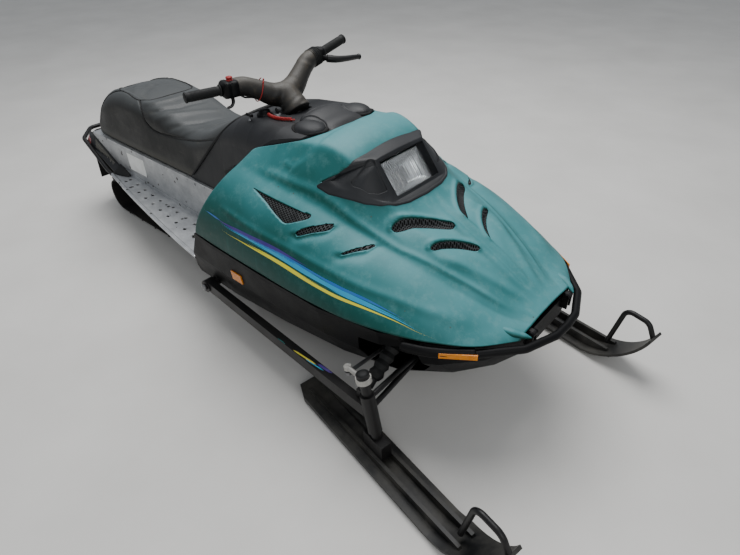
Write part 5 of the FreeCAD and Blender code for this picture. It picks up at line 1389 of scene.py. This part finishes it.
# Each finish and its nodes; those of the last table come as a right and a left one
FINISHES = (
    (ALUMINIUM, "tunnel running_boards slide_rails"),
    (PAN_PLASTIC, "belly_pan pan_trim rear_bulkhead front_bumper"),
    (BLACK_ENAMEL, "front_frame suspension_arms rear_bumper arm_pivots radius_rods trailing_arms hood_hinges "
                   "steering_post handlebar"),
    (CONSOLE_PLASTIC, "console rear_caps"),
    (TRACK_RUBBER, "track snow_flap"),
    (SOFT_RUBBER, "idler_wheels shocks"),
    (ENGINE_IRON, "engine_block"),
    (ZINC, "drive_axle"),
    (RED_LENS, "tail_lamp"),
    (AMBER_LENS, "reflectors"),
)
PAIRED_FINISHES = ((BLACK_ENAMEL, "leg ski_loop"), (CAST, "steering_arm"), (SKI_PAINT, "ski"),
                   (ZINC, "wear_bar tie_rod"))
DRESSED = [(name, finish) for finish, names in FINISHES for name in names.split()]
DRESSED += [(f"{name}_{side}", finish) for finish, names in PAIRED_FINISHES for name in names.split()
            for _, side in SIDES]
for node_name, finish in DRESSED:
    for material_slot in bpy.data.objects[node_name].material_slots:
        material_slot.material = finish
print("finished nodes", len(DRESSED))

# %% [markdown]
# ## Handlebar
# The bars turn about a leaning post. A place on them is given relative to the clamp, before they are
# turned. Their node's matrix could turn it, but Rodrigues' rule does it for whole arrays:
# v cos t + (k x v) sin t + k (k . v)(1 - cos t).

# %% Places on the bars
BAR_CENTRE, POST_FOOT = np.array([94.0, 0.0, 912.0]), np.array([352.0, 0.0, 640.0])
STEER_AXIS = unit(BAR_CENTRE - POST_FOOT)
BARS_TURN = math.radians(-8.8)
BAR_MIDDLE, BAR_END = np.array([-37.0, 150.0, 57.0]), np.array([-68.0, 352.0, 76.0])


def on_bars(p):
    """Where a place relative to the clamp lies with the bars as parked."""
    p = np.asarray(p, float)
    c, s = math.cos(BARS_TURN), math.sin(BARS_TURN)
    kept = (p @ STEER_AXIS)[..., None] * STEER_AXIS * (1 - c)
    return BAR_CENTRE + p * c + np.cross(STEER_AXIS, p) * s + kept


def outer_bar(side):
    """Start, direction, ahead and up of the straight outer part of the bar on one side."""
    start, end = BAR_MIDDLE * [1, side, 1], BAR_END * [1, side, 1]
    along = unit(end - start)
    ahead = unit(np.array([1.0, 0, 0]) - along * along[0])
    return start, along, ahead, np.cross(ahead, along) * side


def beside_bar(side, places):
    """Places given as distance along the outer bar, ahead of it and above it."""
    start, along, ahead, up = outer_bar(side)
    s, a, u = np.moveaxis(np.asarray(places, float), -1, 0)
    return on_bars(start + s[..., None] * along + a[..., None] * ahead + u[..., None] * up)


def bar_loft(side, stations, around=48, power=3.5):
    """Rings along the bar: distance, half width ahead, half height, middle ahead, middle up. Each ring is a
    squarish oval, where cosine and sine are raised to 2 / power and keep their signs."""
    c, s = np.cos(circle(around)), np.sin(circle(around))
    c, s = np.sign(c) * np.abs(c) ** (2 / power), np.sign(s) * np.abs(s) ** (2 / power)
    at, wide, tall, ahead, up = np.moveaxis(np.asarray(stations, float)[:, None], -1, 0)
    along = np.broadcast_to(at, (len(stations), around))
    return beside_bar(side, np.stack([along, ahead + wide * c, up + tall * s], -1))


print("bars turn about", np.round(STEER_AXIS, 3))

# %% [markdown]
# A padded vinyl cover hides the clamp and the bends. Three overlapping tubes are joined by a voxel
# remesh and smoothed, which gives the soft fork of the real cover, where a Boolean would leave hard
# creases. Its wrinkles are small waves across each arm, strongest inside the bends.

# %% Bar cover
COVER_ARM = np.array(((0, 0, -14), (-6, 42, -4), (-21, 98, 30), (-36, 148, 56), (-43, 187, 60.5)))
COVER_ARM_RADII = (46, 42, 35.8, 34, 33)
COVER_END_RADIUS = 29
# The part round the post: distance down it and radius
COVER_POST = ((-22, 0.01), (-20, 20), (-8, 37), (10, 43), (40, 46), (70, 51), (92, 54), (95, 40), (96, 0.01))
VOXEL = 0.0036


def vertex_rows(mesh, what):
    """One attribute of all vertices as rows of three."""
    flat = np.empty(len(mesh.vertices) * 3, np.float32)
    mesh.vertices.foreach_get(what, flat)
    return flat.reshape(-1, 3)


def cover_tubes():
    """The post's turned form and the two arms, each as closed rings."""
    tubes = [lathe(COVER_POST, BAR_CENTRE, -STEER_AXIS, 48)]
    radii = taper(40, np.linspace(0, 1, 5), COVER_ARM_RADII)
    radii[-1] = COVER_END_RADIUS
    for side, _ in SIDES:
        tubes.append(on_bars(sweep(smooth_path(COVER_ARM * [1, side, 1], 40), radii, 48)))
    return tubes


def cover_wrinkles(p, normal):
    """Heights: on each arm, waves sin(27 s + ...) sin(0.045 x + 9 s) at two bends and a sewn channel behind;
    round the post, rings sin(0.21 d)."""
    height = np.zeros(len(p))
    for side, _ in SIDES:
        distance, along = line_distance(p, on_bars(smooth_path(COVER_ARM * [1, side, 1], 30)))
        wave = np.sin(along * 27 + 2.4 * np.sin(p[:, 2] * 0.05 + side)) * np.sin(p[:, 0] * 0.045 + along * 9)
        bend = bell(along - 0.72, 0.12) + 0.7 * bell(along - 0.25, 0.15)
        height += 0.8 * wave * bend * (distance < 60) * (p[:, 1] * side > 20)
        over_channel = p[:, 2] - BAR_CENTRE[2] - 8 - np.abs(p[:, 1]) * 0.36
        height -= 2.0 * bell(over_channel, 3.0) * (normal[:, 0] < -0.3)
    post_run = (p - BAR_CENTRE) @ -STEER_AXIS
    return height + 0.9 * np.sin(post_run * 0.21 + p[:, 1] * 0.07) * smoothstep(post_run, 40, 70)


def make_bar_cover():
    """Joined tubes, remeshed and smoothed, with the wrinkles added along the normals."""
    cover = closed_piece("bar_cover_skin", [capped_rings(rings) for rings in cover_tubes()], "handlebar",
                         COVER_VINYL, replaces=["bar_cover"], slot="cover_vinyl")
    modifier(cover, "REMESH", mode="VOXEL", voxel_size=VOXEL)
    modifier(cover, "SMOOTH", factor=0.5, iterations=18)
    apply_modifiers(cover)
    mesh = cover.data
    p = vertex_rows(mesh, "co").astype(float) / MM
    normal = vertex_rows(mesh, "normal")
    p = p + normal * cover_wrinkles(p, normal)[:, None]
    mesh.vertices.foreach_set("co", (p * MM).astype(np.float32).ravel())
    mesh.polygons.foreach_set("use_smooth", [True] * len(mesh.polygons))
    mesh.update()
    print("bar cover faces", len(mesh.polygons))


make_bar_cover()

# %% [markdown]
# The grips are ribbed rubber sleeves with a collar. The left control is a ribbed sleeve and a block with
# the brake lever's perch; the right one is a square block with a thumb throttle, its cable and a red stop
# button. Cubes with bevels could stand for the blocks, but rings along the bar stay true to its bend.

# %% Grips and controls
LEFT_BLOCK = ((50, 24, 24, 2, 0), (51.5, 27, 26, 3, 0), (56, 29, 27, 5, 0), (68, 29, 27, 5, 0),
              (74, 26, 25, 3, 0), (78, 22, 22, 0, 0), (79, 19, 19, 0, 0))
RIGHT_BLOCK = ((20, 26, 26, 0, 0), (21.5, 30, 28, 2, 1), (26, 32, 29, 4, 2), (46, 33, 29, 5, 2),
               (50, 30, 28, 4, 1), (52, 30, 28, 4, 1), (56, 33, 29, 5, 2), (68, 33, 29, 5, 2),
               (74, 29, 27, 3, 0), (78, 23, 22, 0, 0), (79, 19, 19, 0, 0))
# Routes: distance along the bar, ahead of it, above it
PERCH = ((58, 16, -4), (60, 34, -10), (66, 45, -14))
BRAKE_LEVER = ((62, 42, -12), (88, 60, -24), (130, 72, -38), (172, 78, -50), (206, 82, -60))
THROTTLE = ((48, 16, -22), (52, 30, -38), (66, 44, -47), (84, 50, -48))
CABLE = ((26, 20, -18), (10, 30, -30), (-20, 26, -38))
# The stop button: height and radius
BUTTON = ((0, 12.5), (4, 12.5), (5, 9), (9, 8.6), (10, 12), (14, 12), (16, 9), (16.5, 0.01))
STOP_RED = make_moulding("red_moulded_plastic", "#8f1414", "#a84440", 0.4, dust=0.4)


def make_grips():
    """Sleeves whose radius steps between 16.4 and 17.3 mm every 4.6 mm, with a collar and a rounded end."""
    s = np.linspace(86, 204, 178)
    ribs = 16.4 + 0.9 * (np.sin((s - 92) * 2 * math.pi / 4.6) > -0.2) * (s > 96) * (s < 192)
    profile = [(80.5, 13), (80.8, 20.5), (85, 21), (85.6, 17.2), *zip(s, ribs), (204.5, 18.6), (209, 18.4),
               (211, 15), (211.5, 6)]
    for side, name in SIDES:
        capped("grip_" + name, bar_loft(side, [(a, r, r, 0, 0) for a, r in profile], 40, 2.0), "handlebar",
               SOFT_RUBBER, replaces=["grips"] if side > 0 else (), slot="grip_rubber")


def on_handlebar(name, rings, material, slot="black_plastic", **more):
    """A capped piece that rides on the bars."""
    capped(name, rings, "handlebar", material, slot=slot, **more)


def make_left_control():
    """A sleeve with waves of 1.6 mm every 8.5 mm, the block, the perch and the tapering brake lever."""
    s = np.linspace(16, 50, 60)
    wave = 1.6 * np.cos((s - 16) * 2 * math.pi / 8.5)
    ribbed = [(a, 33.5 + w, 32.5 + w, 0, 0) for a, w in zip(s, wave)]
    sleeve = [(15.5, 28, 28, 0, 0), *ribbed, (51, 28, 28, 0, 0)]
    on_handlebar("control_sleeve_left", bar_loft(1, sleeve, 64, 2.3), SOFT_RUBBER, replaces=["bar_controls"])
    on_handlebar("control_block_left", bar_loft(1, LEFT_BLOCK), PAN_PLASTIC)
    perch = smooth_path(beside_bar(1, PERCH), 14)
    on_handlebar("brake_perch", sweep(perch, np.linspace(13, 9, 14), 20), PAN_PLASTIC)
    radius = taper(50, (0, 0.1, 0.5, 0.92, 0.97, 1), (15, 15, 12, 10, 13, 7))
    lever = sweep(smooth_path(beside_bar(1, BRAKE_LEVER), 50), radius, 20, flatten=0.95)
    on_handlebar("brake_lever_blade", lever, BLACK_ENAMEL, replaces=["brake_lever"])


def make_right_control():
    """The block, the flat thumb lever, the turned stop button and the cable towards the post."""
    on_handlebar("control_block_right", bar_loft(-1, RIGHT_BLOCK, 56, 4.5), PAN_PLASTIC)
    radius = taper(24, (0, 0.5, 0.9, 1), (7, 6, 8, 3))
    thumb = sweep(smooth_path(beside_bar(-1, THROTTLE), 24), radius, 18, flatten=0.6)
    on_handlebar("throttle_lever", thumb, BLACK_ENAMEL)
    upward = unit(on_bars(outer_bar(-1)[3]) - on_bars(np.zeros(3)))
    button = lathe(BUTTON, beside_bar(-1, (44, 4, 27)), upward, 28)
    on_handlebar("stop_button", button, STOP_RED, "tether_plastic")
    cable = smooth_path(np.vstack([beside_bar(-1, CABLE), on_bars((0, -62, -30))]), 30)
    on_handlebar("throttle_cable", sweep(cable, 3.2, 12), SOFT_RUBBER, "grip_rubber")


make_grips()
make_left_control()
make_right_control()
print("grips and controls made")

# %% [markdown]
# ## Console and instruments
# The instruments sit under a low hood whose height at a place is the highest of the dome, the two cowls
# and the console, which keeps one clean sheet where a Boolean would not. Dark arcs round the cowls are painted
# shade: the shadow in the gaps that part the cowls from the hood.

# %% Instruments
# x, half width, height of the dome
POD_STATIONS = ((262, 88, 858), (268, 92, 880), (284, 104, 889), (350, 108, 880), (404, 84, 868),
                (418, 78, 858))
DOME_FOOT = 856.0
# The cowls' middle x and y, half length, half width and rise
COWLS = (346.0, 116.0, 60.0, 50.0, 25.0)
CONSOLE_TREE = node_tree("console")
# Painted shade: a near-black material for the shadow in the gaps round the cowls
GAP_SHADE = make_moulding("painted_gap_shade", "#050505", "#0d0d0d", 0.8, dust=0.2)


def make_instruments():
    """The dome is a squarish arch, the cowls are half ellipsoids, and a groove runs round each cowl."""
    x, y = np.meshgrid(np.linspace(258, 420, 90), np.linspace(-176, 176, 181), indexing="ij")
    found = [from_above(CONSOLE_TREE, a, b) for a, b in zip(x.ravel(), y.ravel())]
    floor = np.array([800.0 if place is None else place[2] for place in found]).reshape(x.shape)
    half, top = np.moveaxis(smooth_table(POD_STATIONS, x), -1, 0)
    arch = np.sqrt(np.clip(1 - (y / half) ** 2, 0, 1)) ** 0.8
    dome = np.where(np.abs(y) < half, DOME_FOOT + (top - DOME_FOOT) * arch, 0)
    cx, cy, rx, ry, rise = COWLS
    reach = ((x - cx) / rx) ** 2 + ((np.abs(y) - cy) / ry) ** 2
    cowl = np.where(reach < 1, floor + rise * np.clip(1 - reach, 0, 1) ** 0.5, 0)
    groove = 6.0 * bell(np.sqrt(reach) - 1.0, 0.055) * (np.abs(y) < cy + 8)
    z = soften(np.maximum(np.maximum(dome - groove, cowl), floor - 2.5), 1)
    sheet_piece("instrument_hood", np.stack([x, y, z], -1), "chassis", CONSOLE_PLASTIC,
                replaces=["instrument_pod"], slot="grey_plastic")
    print("instrument hood up to", round(z.max(), 1))


def make_gauge_gaps():
    """Two dark arcs round each cowl, 6 % wider than its ellipse, that thin out to their ends: painted shade in
    the gaps.
    """
    cx, cy, rx, ry, _ = COWLS
    angle = np.radians(np.linspace(100, 250, 40))
    for side, name in SIDES:
        for part, turn in (("rear", 0.0), ("front", math.pi)):
            x, y = cx + rx * 1.06 * np.cos(angle + turn), cy + ry * 1.06 * np.sin(angle + turn)
            found = [from_above(CONSOLE_TREE, a, b) for a, b in zip(x, side * y)]
            path = np.array([place + [0, 0, 0.5] for place in found if place is not None])
            radius = 0.6 + 7.0 * np.sin(np.linspace(0, math.pi, len(path)))
            tube_piece(f"gauge_gap_{name}_{part}", path, radius, "chassis", GAP_SHADE, 12,
                       slot="black_plastic")


make_instruments()
make_gauge_gaps()

# %% [markdown]
# Three controls stand on the console: the tether's stop switch, the key and the choke. Each is a turned
# form about an upright line. A cylinder with bevels would need more steps for the same edge.

# %% Stop switch, key and choke
STOP_CAP = ((812, 30), (846, 30), (849, 28.5), (850, 23), (855, 22), (861, 20.5), (864, 16), (865, 0.01))
KEY_BARREL = ((812, 15), (848, 15), (849.5, 13), (856, 13), (857, 11), (857, 0.01))
CHOKE_STEM = ((806, 7), (838, 7), (839, 5), (850, 5), (850, 0.01))
KEY_PLACE, CHOKE_PLACE = (140.0, -84.0), (60.0, -152.0)


def upright(name, profile, place, around, material, slot, **more):
    """A turned piece on the console: profile rows are height and radius."""
    capped(name, lathe(profile, (*place, 0), (0, 0, 1), around), "chassis", material, slot=slot, **more)


def make_switches():
    """The turned forms, the key's head as four rings of an oval, and the choke's handle as a short bar."""
    upright("stop_switch_cap", STOP_CAP, (82, -98), 40, PAN_PLASTIC, "black_plastic",
            replaces=["ignition_controls"])
    upright("key_barrel", KEY_BARREL, KEY_PLACE, 32, ZINC, "zinc_steel")
    angle, (x, y) = circle(28), KEY_PLACE
    rings = [np.stack([x + 11 * np.cos(angle) * k, np.full(28, y + d), 867 + 10.5 * np.sin(angle) * k], -1)
             for k, d in ((0.86, -2.6), (1, -1.8), (1, 1.8), (0.86, 2.6))]
    capped("key_head", np.array(rings), "chassis", CONSOLE_PLASTIC, slot="grey_plastic")
    upright("choke_stem", CHOKE_STEM, CHOKE_PLACE, 24, ZINC, "zinc_steel")
    t, (x, y) = np.linspace(-1, 1, 24), CHOKE_PLACE
    bar = np.stack([x + 16 * t, np.full(24, y), 851 + 1.5 * t**2], -1)
    radius = 4.6 + 1.2 * np.abs(t) ** 3
    tube_piece("choke_handle", bar, radius, "chassis", PAN_PLASTIC, 20, slot="black_plastic")
    print("key at", KEY_PLACE, "choke at", CHOKE_PLACE)


make_switches()

# %% [markdown]
# ## The stop switch's tether
# A curly red cord of 3.6 mm runs from the switch along the console, and a plain one goes round the right
# arm. The curly one is a helix: at share t of a smooth route its point is the route's place plus
# r (a cos wt + b sin wt), where a and b lie across the route. Swept rings could draw it too, but a NURBS
# curve with a bevel can also be measured.

# %% Tether
TETHER_RADIUS = 0.0018
COIL_RADIUS = 0.0047
TETHER_ROUTE = ((0.1125, -0.1037, 0.8531), (0.144, -0.116, 0.8552), (0.178, -0.119, 0.8575),
                (0.210, -0.113, 0.8596), (0.238, -0.101, 0.8615))
COIL_TURNS, COIL_STEPS = 24, 14
# Most of a turn round the padded arm: corners, the arm's radius with the gap and the cord, first angle
LOOP_CORNERS = 8
LOOP_RADIUS = 37 + 0.3 + 1.8 + 0.6
LOOP_START = math.radians(100)
# A crimped clasp with a collar, a waist and a rounded nose: distance and radius
CLASP = ((-4, 0.01), (-4, 2.4), (-3, 3), (3, 3), (4, 2.3), (7, 2.2), (8, 3.4), (12, 3.4), (14, 2.2),
         (14.5, 0.01))


def spline_curve(name, points, radius=0.0):
    """A smooth NURBS curve with these control points."""
    data = bpy.data.curves.new(name, "CURVE")
    data.dimensions = "3D"
    data.bevel_depth = radius
    data.use_fill_caps = True
    spline = data.splines.new("NURBS")
    spline.points.add(len(points) - 1)
    for target, point in zip(spline.points, points):
        target.co = (*point, 1.0)
    spline.order_u = 3
    spline.use_endpoint_u = True
    return in_scene(name, data)


def curve_line(obj):
    """A curve's own line, as the mesh of a copy without bevel gives it."""
    plain = in_scene("plain", obj.data.copy())
    plain.data.bevel_depth = 0
    mesh = bpy.data.meshes.new_from_object(plain)
    points = np.array([v.co for v in mesh.vertices])
    data = plain.data
    bpy.data.objects.remove(plain)
    bpy.data.curves.remove(data)
    bpy.data.meshes.remove(mesh)
    return points


def make_cord(cord, node, body, points, ahead, clasp_name):
    """Gives a cord its body, its node, its measured length and the clasp at its end."""
    cord.data.materials.append(STOP_RED)
    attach(cord, body)
    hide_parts(node)
    length = float(run_along(curve_line(cord))[-1])
    clasp = capped(clasp_name, lathe(CLASP, points[-1] / MM, ahead, 20), body, STOP_RED, slot="tether_plastic")
    print(cord.name, "length", round(length, 4))


def make_tether():
    """The helix round the route, from the stop switch to its clasp."""
    route = spline_curve("route", TETHER_ROUTE)
    line = smooth_path(curve_line(route), COIL_TURNS * COIL_STEPS)
    bpy.data.objects.remove(route)
    tangent = unit(np.gradient(line, axis=0))
    across = unit(np.cross(tangent, (0, 0, 1)))
    up = np.cross(across, tangent)
    angle = np.linspace(0, 2 * math.pi * COIL_TURNS, len(line))[:, None]
    helix = line + COIL_RADIUS * (across * np.cos(angle) + up * np.sin(angle))
    coil = spline_curve("tether_coil", helix, TETHER_RADIUS)
    coil.data.splines[0].resolution_u = 3
    make_cord(coil, "tether_cord", "chassis", helix, tangent[-1], "tether_clasp")


def make_tether_loop():
    """Corners on a circle across the arm, 1 / cos(half a step) further out, because the cord cuts them."""
    inner, middle = np.array([-6.0, -40.0, -2.0]), BAR_MIDDLE * [1, -1, 1]
    along = unit(middle - inner)
    across = unit(np.cross((0, 0, 1), along))
    up = np.cross(along, across)
    step = 2 * math.pi / LOOP_CORNERS
    angle = LOOP_START + step * np.arange(LOOP_CORNERS)[:, None]
    ring = LOOP_RADIUS / math.cos(step / 2) * (across * np.cos(angle) + up * np.sin(angle))
    corners = on_bars((inner + middle) / 2 + ring) * MM
    loop = spline_curve("tether_ring", corners, TETHER_RADIUS)
    ahead = corners[-1] - corners[-2]
    make_cord(loop, "tether_loop", "handlebar", corners, ahead, "tether_loop_clasp")


make_tether()
make_tether_loop()

# %% [markdown]
# ## Trim and fixings
# Small round heads are turned forms at places and ways to face that a list gives. All heads of one kind
# are one mesh, because hundreds of objects would be slow to draw.


# %% Rivets and the white film
RIVET = ((-1.0, 4.6), (0.4, 4.6), (1.3, 3.8), (1.9, 2.2), (2.1, 0.6))
TUNNEL_SIDE = 205.3
WHITE_FILM = make_film("white", "#eeefed", "#d0d0ca")


def studs(name, places, profile, body, material, around=16, slot=None):
    """One mesh with the same turned head at many (place, facing) pairs."""
    heads = [plugged_rings(lathe(profile, place, facing, around)) for place, facing in places]
    closed_piece(name, heads, body, material, slot=slot)
    print(name, len(heads))


def make_tunnel_trim():
    """Two rows of rivets a side, and a blank white film on the right whose corner curls out."""
    places = []
    for side, _ in SIDES:
        places += [((x, side * TUNNEL_SIDE, 470), (0, side, 0)) for x in np.arange(-1240, -30, 64)]
        places += [((x, side * TUNNEL_SIDE, 340 + (x + 1020) * -0.035), (0, side, 0))
                   for x in np.arange(-1020, -120, 90)]
    studs("tunnel_rivets", places, RIVET, "chassis", ALUMINIUM, slot="aluminium")
    x, z = np.meshgrid(np.linspace(-960, -800, 40), np.linspace(362, 452, 24), indexing="ij")
    curl = 3.0 * smoothstep(22 - np.hypot(x + 800, z - 362), 0, 22)
    grid = np.stack([x, -205.6 - curl, z], -1)
    sheet_piece("blank_sticker", grid, "chassis", WHITE_FILM, slot="grey_plastic")


make_tunnel_trim()

# %% [markdown]
# The rear panels carry a field of small six-sided holes, shown as raised strands over the dark panel, a
# dull red reflector each, and a rubber foot where they meet the boards. Cutting the holes would need
# hundreds of Booleans, so the strands are the vent mesh's cells laid on the panel.

# %% Rear panels
CAP_TREE = node_tree("rear_caps")
CAP_FIELD = ((-1118, 344), (-1112, 352), (-1290, 452), (-1292, 398))
REFLECTOR_X = (-1338, -1374)
# The foot's sections: x, height, width
CAP_FOOT = ((-1078, 34, 46), (-1070, 40, 52), (-1010, 24, 34), (-982, 8, 16))
FOOT_INNER = 206.5
STRAND_GREY = make_moulding("worn_grey_strands", "#6f6e68", "#9a978d", 0.55, dust=0.6)


def on_cap(side, x, z, lift):
    """A place on a rear panel seen from the side, lifted along the panel's normal."""
    found = from_side(CAP_TREE, side, x, z, lift)
    return np.array([x, side * 225.0, z - 6]) if found is None else found


def make_cap_reflector(side, name):
    """A pillow: it lifts by 2.2 mm within a sixth of its width from each edge."""
    first, last = REFLECTOR_X
    x, t = np.meshgrid(np.linspace(first, last, 16), np.linspace(0, 1, 10), indexing="ij")
    z = 404 + (x - first) * -0.28 + 30 * t
    across = (x - last) / (first - last)
    lift = 0.4 + 2.2 * np.minimum(1, 6 * np.minimum.reduce([t, 1 - t, across, 1 - across]))
    grid = np.array([[on_cap(side, a, b, c) for a, b, c in zip(*row)] for row in zip(x, z, lift)])
    sheet_piece("cap_reflector_" + name, grid[:, ::side], "chassis", RED_LENS, slot="red_lens")


def make_cap_foot(side, name):
    """A wedge of rubber: four-cornered sections with softened corners along the panel's foot."""
    rings = []
    for x, height, width in CAP_FOOT:
        base = 321 + (x + 1075) * -0.046
        corners = ((0, 0), (width, 0), (width * 0.8, height * 0.3), (0, height))
        section = rounded(np.array(corners) + (FOOT_INNER, base), 5, 5)
        rings.append(np.column_stack([np.full(len(section), x), side * section[:, 0], section[:, 1]]))
    capped("cap_foot_" + name, np.array(rings), "chassis", SOFT_RUBBER, slot="grip_rubber")


CAP_CELLS = hexagon_rings(CAP_FIELD, -3.0)
for side, name in SIDES:
    points, faces = mesh_sheet(CAP_CELLS, lambda x, z: on_cap(side, x, z, 1.0))
    piece("cap_strands_" + name, points, faces[:, ::side], "chassis", STRAND_GREY, slot="grey_plastic",
          smooth=False)
    make_cap_reflector(side, name)
    make_cap_foot(side, name)
print("cap cells", len(CAP_CELLS), "a side")

# %% [markdown]
# The front bumper's rear ends are covered by a broad band. The hood's nose ends in two small pointed ears,
# and its rear corner is held by a rubber latch on each side. Curve objects could make these bars, but
# swept rings can be flattened.

# %% Nose, bumper bands and latches
BUMPER_PATH = np.array(((976, 399, 430), (1048, 368, 430), (1163, 287, 430)))
EAR_PATH = np.array(((1176, 178, 462), (1212, 168, 459), (1242, 152, 453), (1260, 140, 447)))
LATCH_X, LATCH_Z = (-92, 8), (594, 650)


def make_front_trim():
    """The three bars on each side; the latch's path lies 5 mm outside the console."""
    band = 14.4 * np.minimum(1, np.linspace(0.86, 3, 40)) * np.where(np.linspace(0, 1, 40) > 0.98, 0.93, 1)
    for side, name in SIDES:
        flip = np.array([1, side, 1])
        rings = sweep(smooth_path(BUMPER_PATH * flip, 40), band, 28, flatten=1.24)
        capped("bumper_band_" + name, rings, "chassis", PAN_PLASTIC, slot="black_plastic")
        radius = taper(24, (0, 0.4, 0.8, 1), (13, 16, 10, 2))
        rings = sweep(smooth_path(EAR_PATH * flip, 24), radius, 20, flatten=0.75)
        capped("nose_ear_" + name, rings, "hood", HOOD_PAINT, slot="hood_paint")
        route = zip(np.linspace(*LATCH_X, 16), np.linspace(*LATCH_Z, 16))
        found = [from_side(CONSOLE_TREE, side, x, z, 5) for x, z in route]
        strap = np.array([place for place in found if place is not None])
        radius = taper(len(strap), (0, 0.1, 0.7, 1), (5, 9, 8, 11))
        rings = sweep(strap, radius, 20, flatten=0.5, reference=(0, 1, 0))
        capped("hood_latch_" + name, rings, "chassis", SOFT_RUBBER, slot="grip_rubber")
    print("latch points", len(strap))


make_front_trim()

# %% [markdown]
# The running boards' outer edges are rolled into a rim, which boots keep bright; its brighter metal is also a
# painted highlight along the rolled edge. The imported board says where it runs: a parabola is laid through
# its outermost points, which takes out their small steps.
# where it runs: a parabola is laid through its outermost points, which takes out their small steps.

# %% Board rims
def make_board_edges():
    """A tube along the fitted path, 2 mm inside the outermost points and 1 mm above them."""
    tree = node_tree("running_boards")
    for side, name in SIDES:
        path = []
        for x in np.linspace(-1080, -60, 52):
            hits = [from_side(tree, side, x, z) for z in np.arange(262, 352, 1.5)]
            hits = [place for place in hits if place is not None and abs(place[1]) > 300]
            if hits:
                path.append(max(hits, key=lambda place: (round(abs(place[1])), place[2])))
        path = np.array(path)
        for i in (1, 2):
            path[:, i] = np.polyval(np.polyfit(path[:, 0], path[:, i], 2), path[:, 0])
        path = smooth_path(path + [0, -side * 2.0, 1.0], 60)
        # The rim's bright metal is partly a painted highlight along the rolled edge
        tube_piece("board_rim_" + name, path, 5.0, "chassis", RIM_WORN_AND_HIGHLIT, 14, slot="aluminium")
        print("board rim", name, np.round(path[0]), np.round(path[-1]))


make_board_edges()

# %% [markdown]
# Each trailing arm carries four thin flashes of colour on its upper side, printed films laid on it from
# above. Its pivot has a broad round bolt head outside and inside, and each ski leg ends in a rubber cap.

# %% Arms and legs
ARM_TREE = node_tree("trailing_arms")
ARM_Y = 484
# Colour, first x, last x, inner and outer edge as distances from the arm's middle line
ARM_FLASHES = (("teal", 450, 530, -2, 8), ("yellow", 575, 690, 1, 7), ("purple", 690, 760, -7, 3),
               ("cyan", 640, 730, 6, 10))
FLASH_COLOURS = {"teal": ("#1d7f7c", "#3b8f8b"), "yellow": ("#d3c637", "#b9b56c"),
                 "purple": ("#463280", "#6a6090"), "cyan": ("#2a9cc0", "#4fa9bd")}
PIVOT_BOLT = ((-1, 14), (5, 14), (6.5, 12), (8, 8), (8.2, 1))
LEG_CAP = ((-2, 15), (0, 19.5), (6, 19.5), (10, 16), (12, 8), (12.4, 0.5))
LEG_LEAN = np.array([-0.2, 0, 0.98])


def flash_row(side, x, low, high, width):
    """Four places across a flash, or none where the arm isn't below its middle line."""
    top = from_above(ARM_TREE, x, side * ARM_Y, 0.5, 600)
    if top is None:
        return []
    row = []
    for share in np.linspace(-0.5, 0.5, 4):
        y = side * (ARM_Y + (low + high) / 2 + (high - low) * share * width)
        place = from_above(ARM_TREE, x, y, 0.5, 600)
        row.append(top if place is None else place)
    return [row]


def make_arm_flashes():
    """Strips laid on the arm from above, as wide as the least of 1, 6t and 6 (1 - t) at share t."""
    for colour, x0, x1, low, high in ARM_FLASHES:
        film = make_film("arm_" + colour, *FLASH_COLOURS[colour])
        for side, name in SIDES:
            rows = []
            for x in np.linspace(x0, x1, 24):
                t = (x - x0) / (x1 - x0)
                rows += flash_row(side, x, low, high, min(1.0, 6 * t, 6 * (1 - t)))
            if len(rows) > 2:
                sheet_piece(f"arm_flash_{colour}_{name}", np.array(rows)[:, ::-side], "chassis", film,
                            slot="hood_paint")


def make_arm_bolts():
    """Bolt heads on both sides of each pivot, and a turned cap on each leg's leaning top."""
    places = []
    for side, _ in SIDES:
        places += [((-15, side * 450.5, 196), (0, side, 0)), ((-15, side * 409, 196), (0, -side, 0))]
    studs("arm_pivot_bolts", places, PIVOT_BOLT, "chassis", ZINC, 24, slot="zinc_steel")
    for side, name in SIDES:
        cap = lathe(LEG_CAP, np.array([927.0, side * 509.0, 335.0]) + LEG_LEAN * 24, LEG_LEAN, 28)
        capped("leg_cap_" + name, cap, "steer_" + name, SOFT_RUBBER, slot="grip_rubber")


make_arm_flashes()
make_arm_bolts()
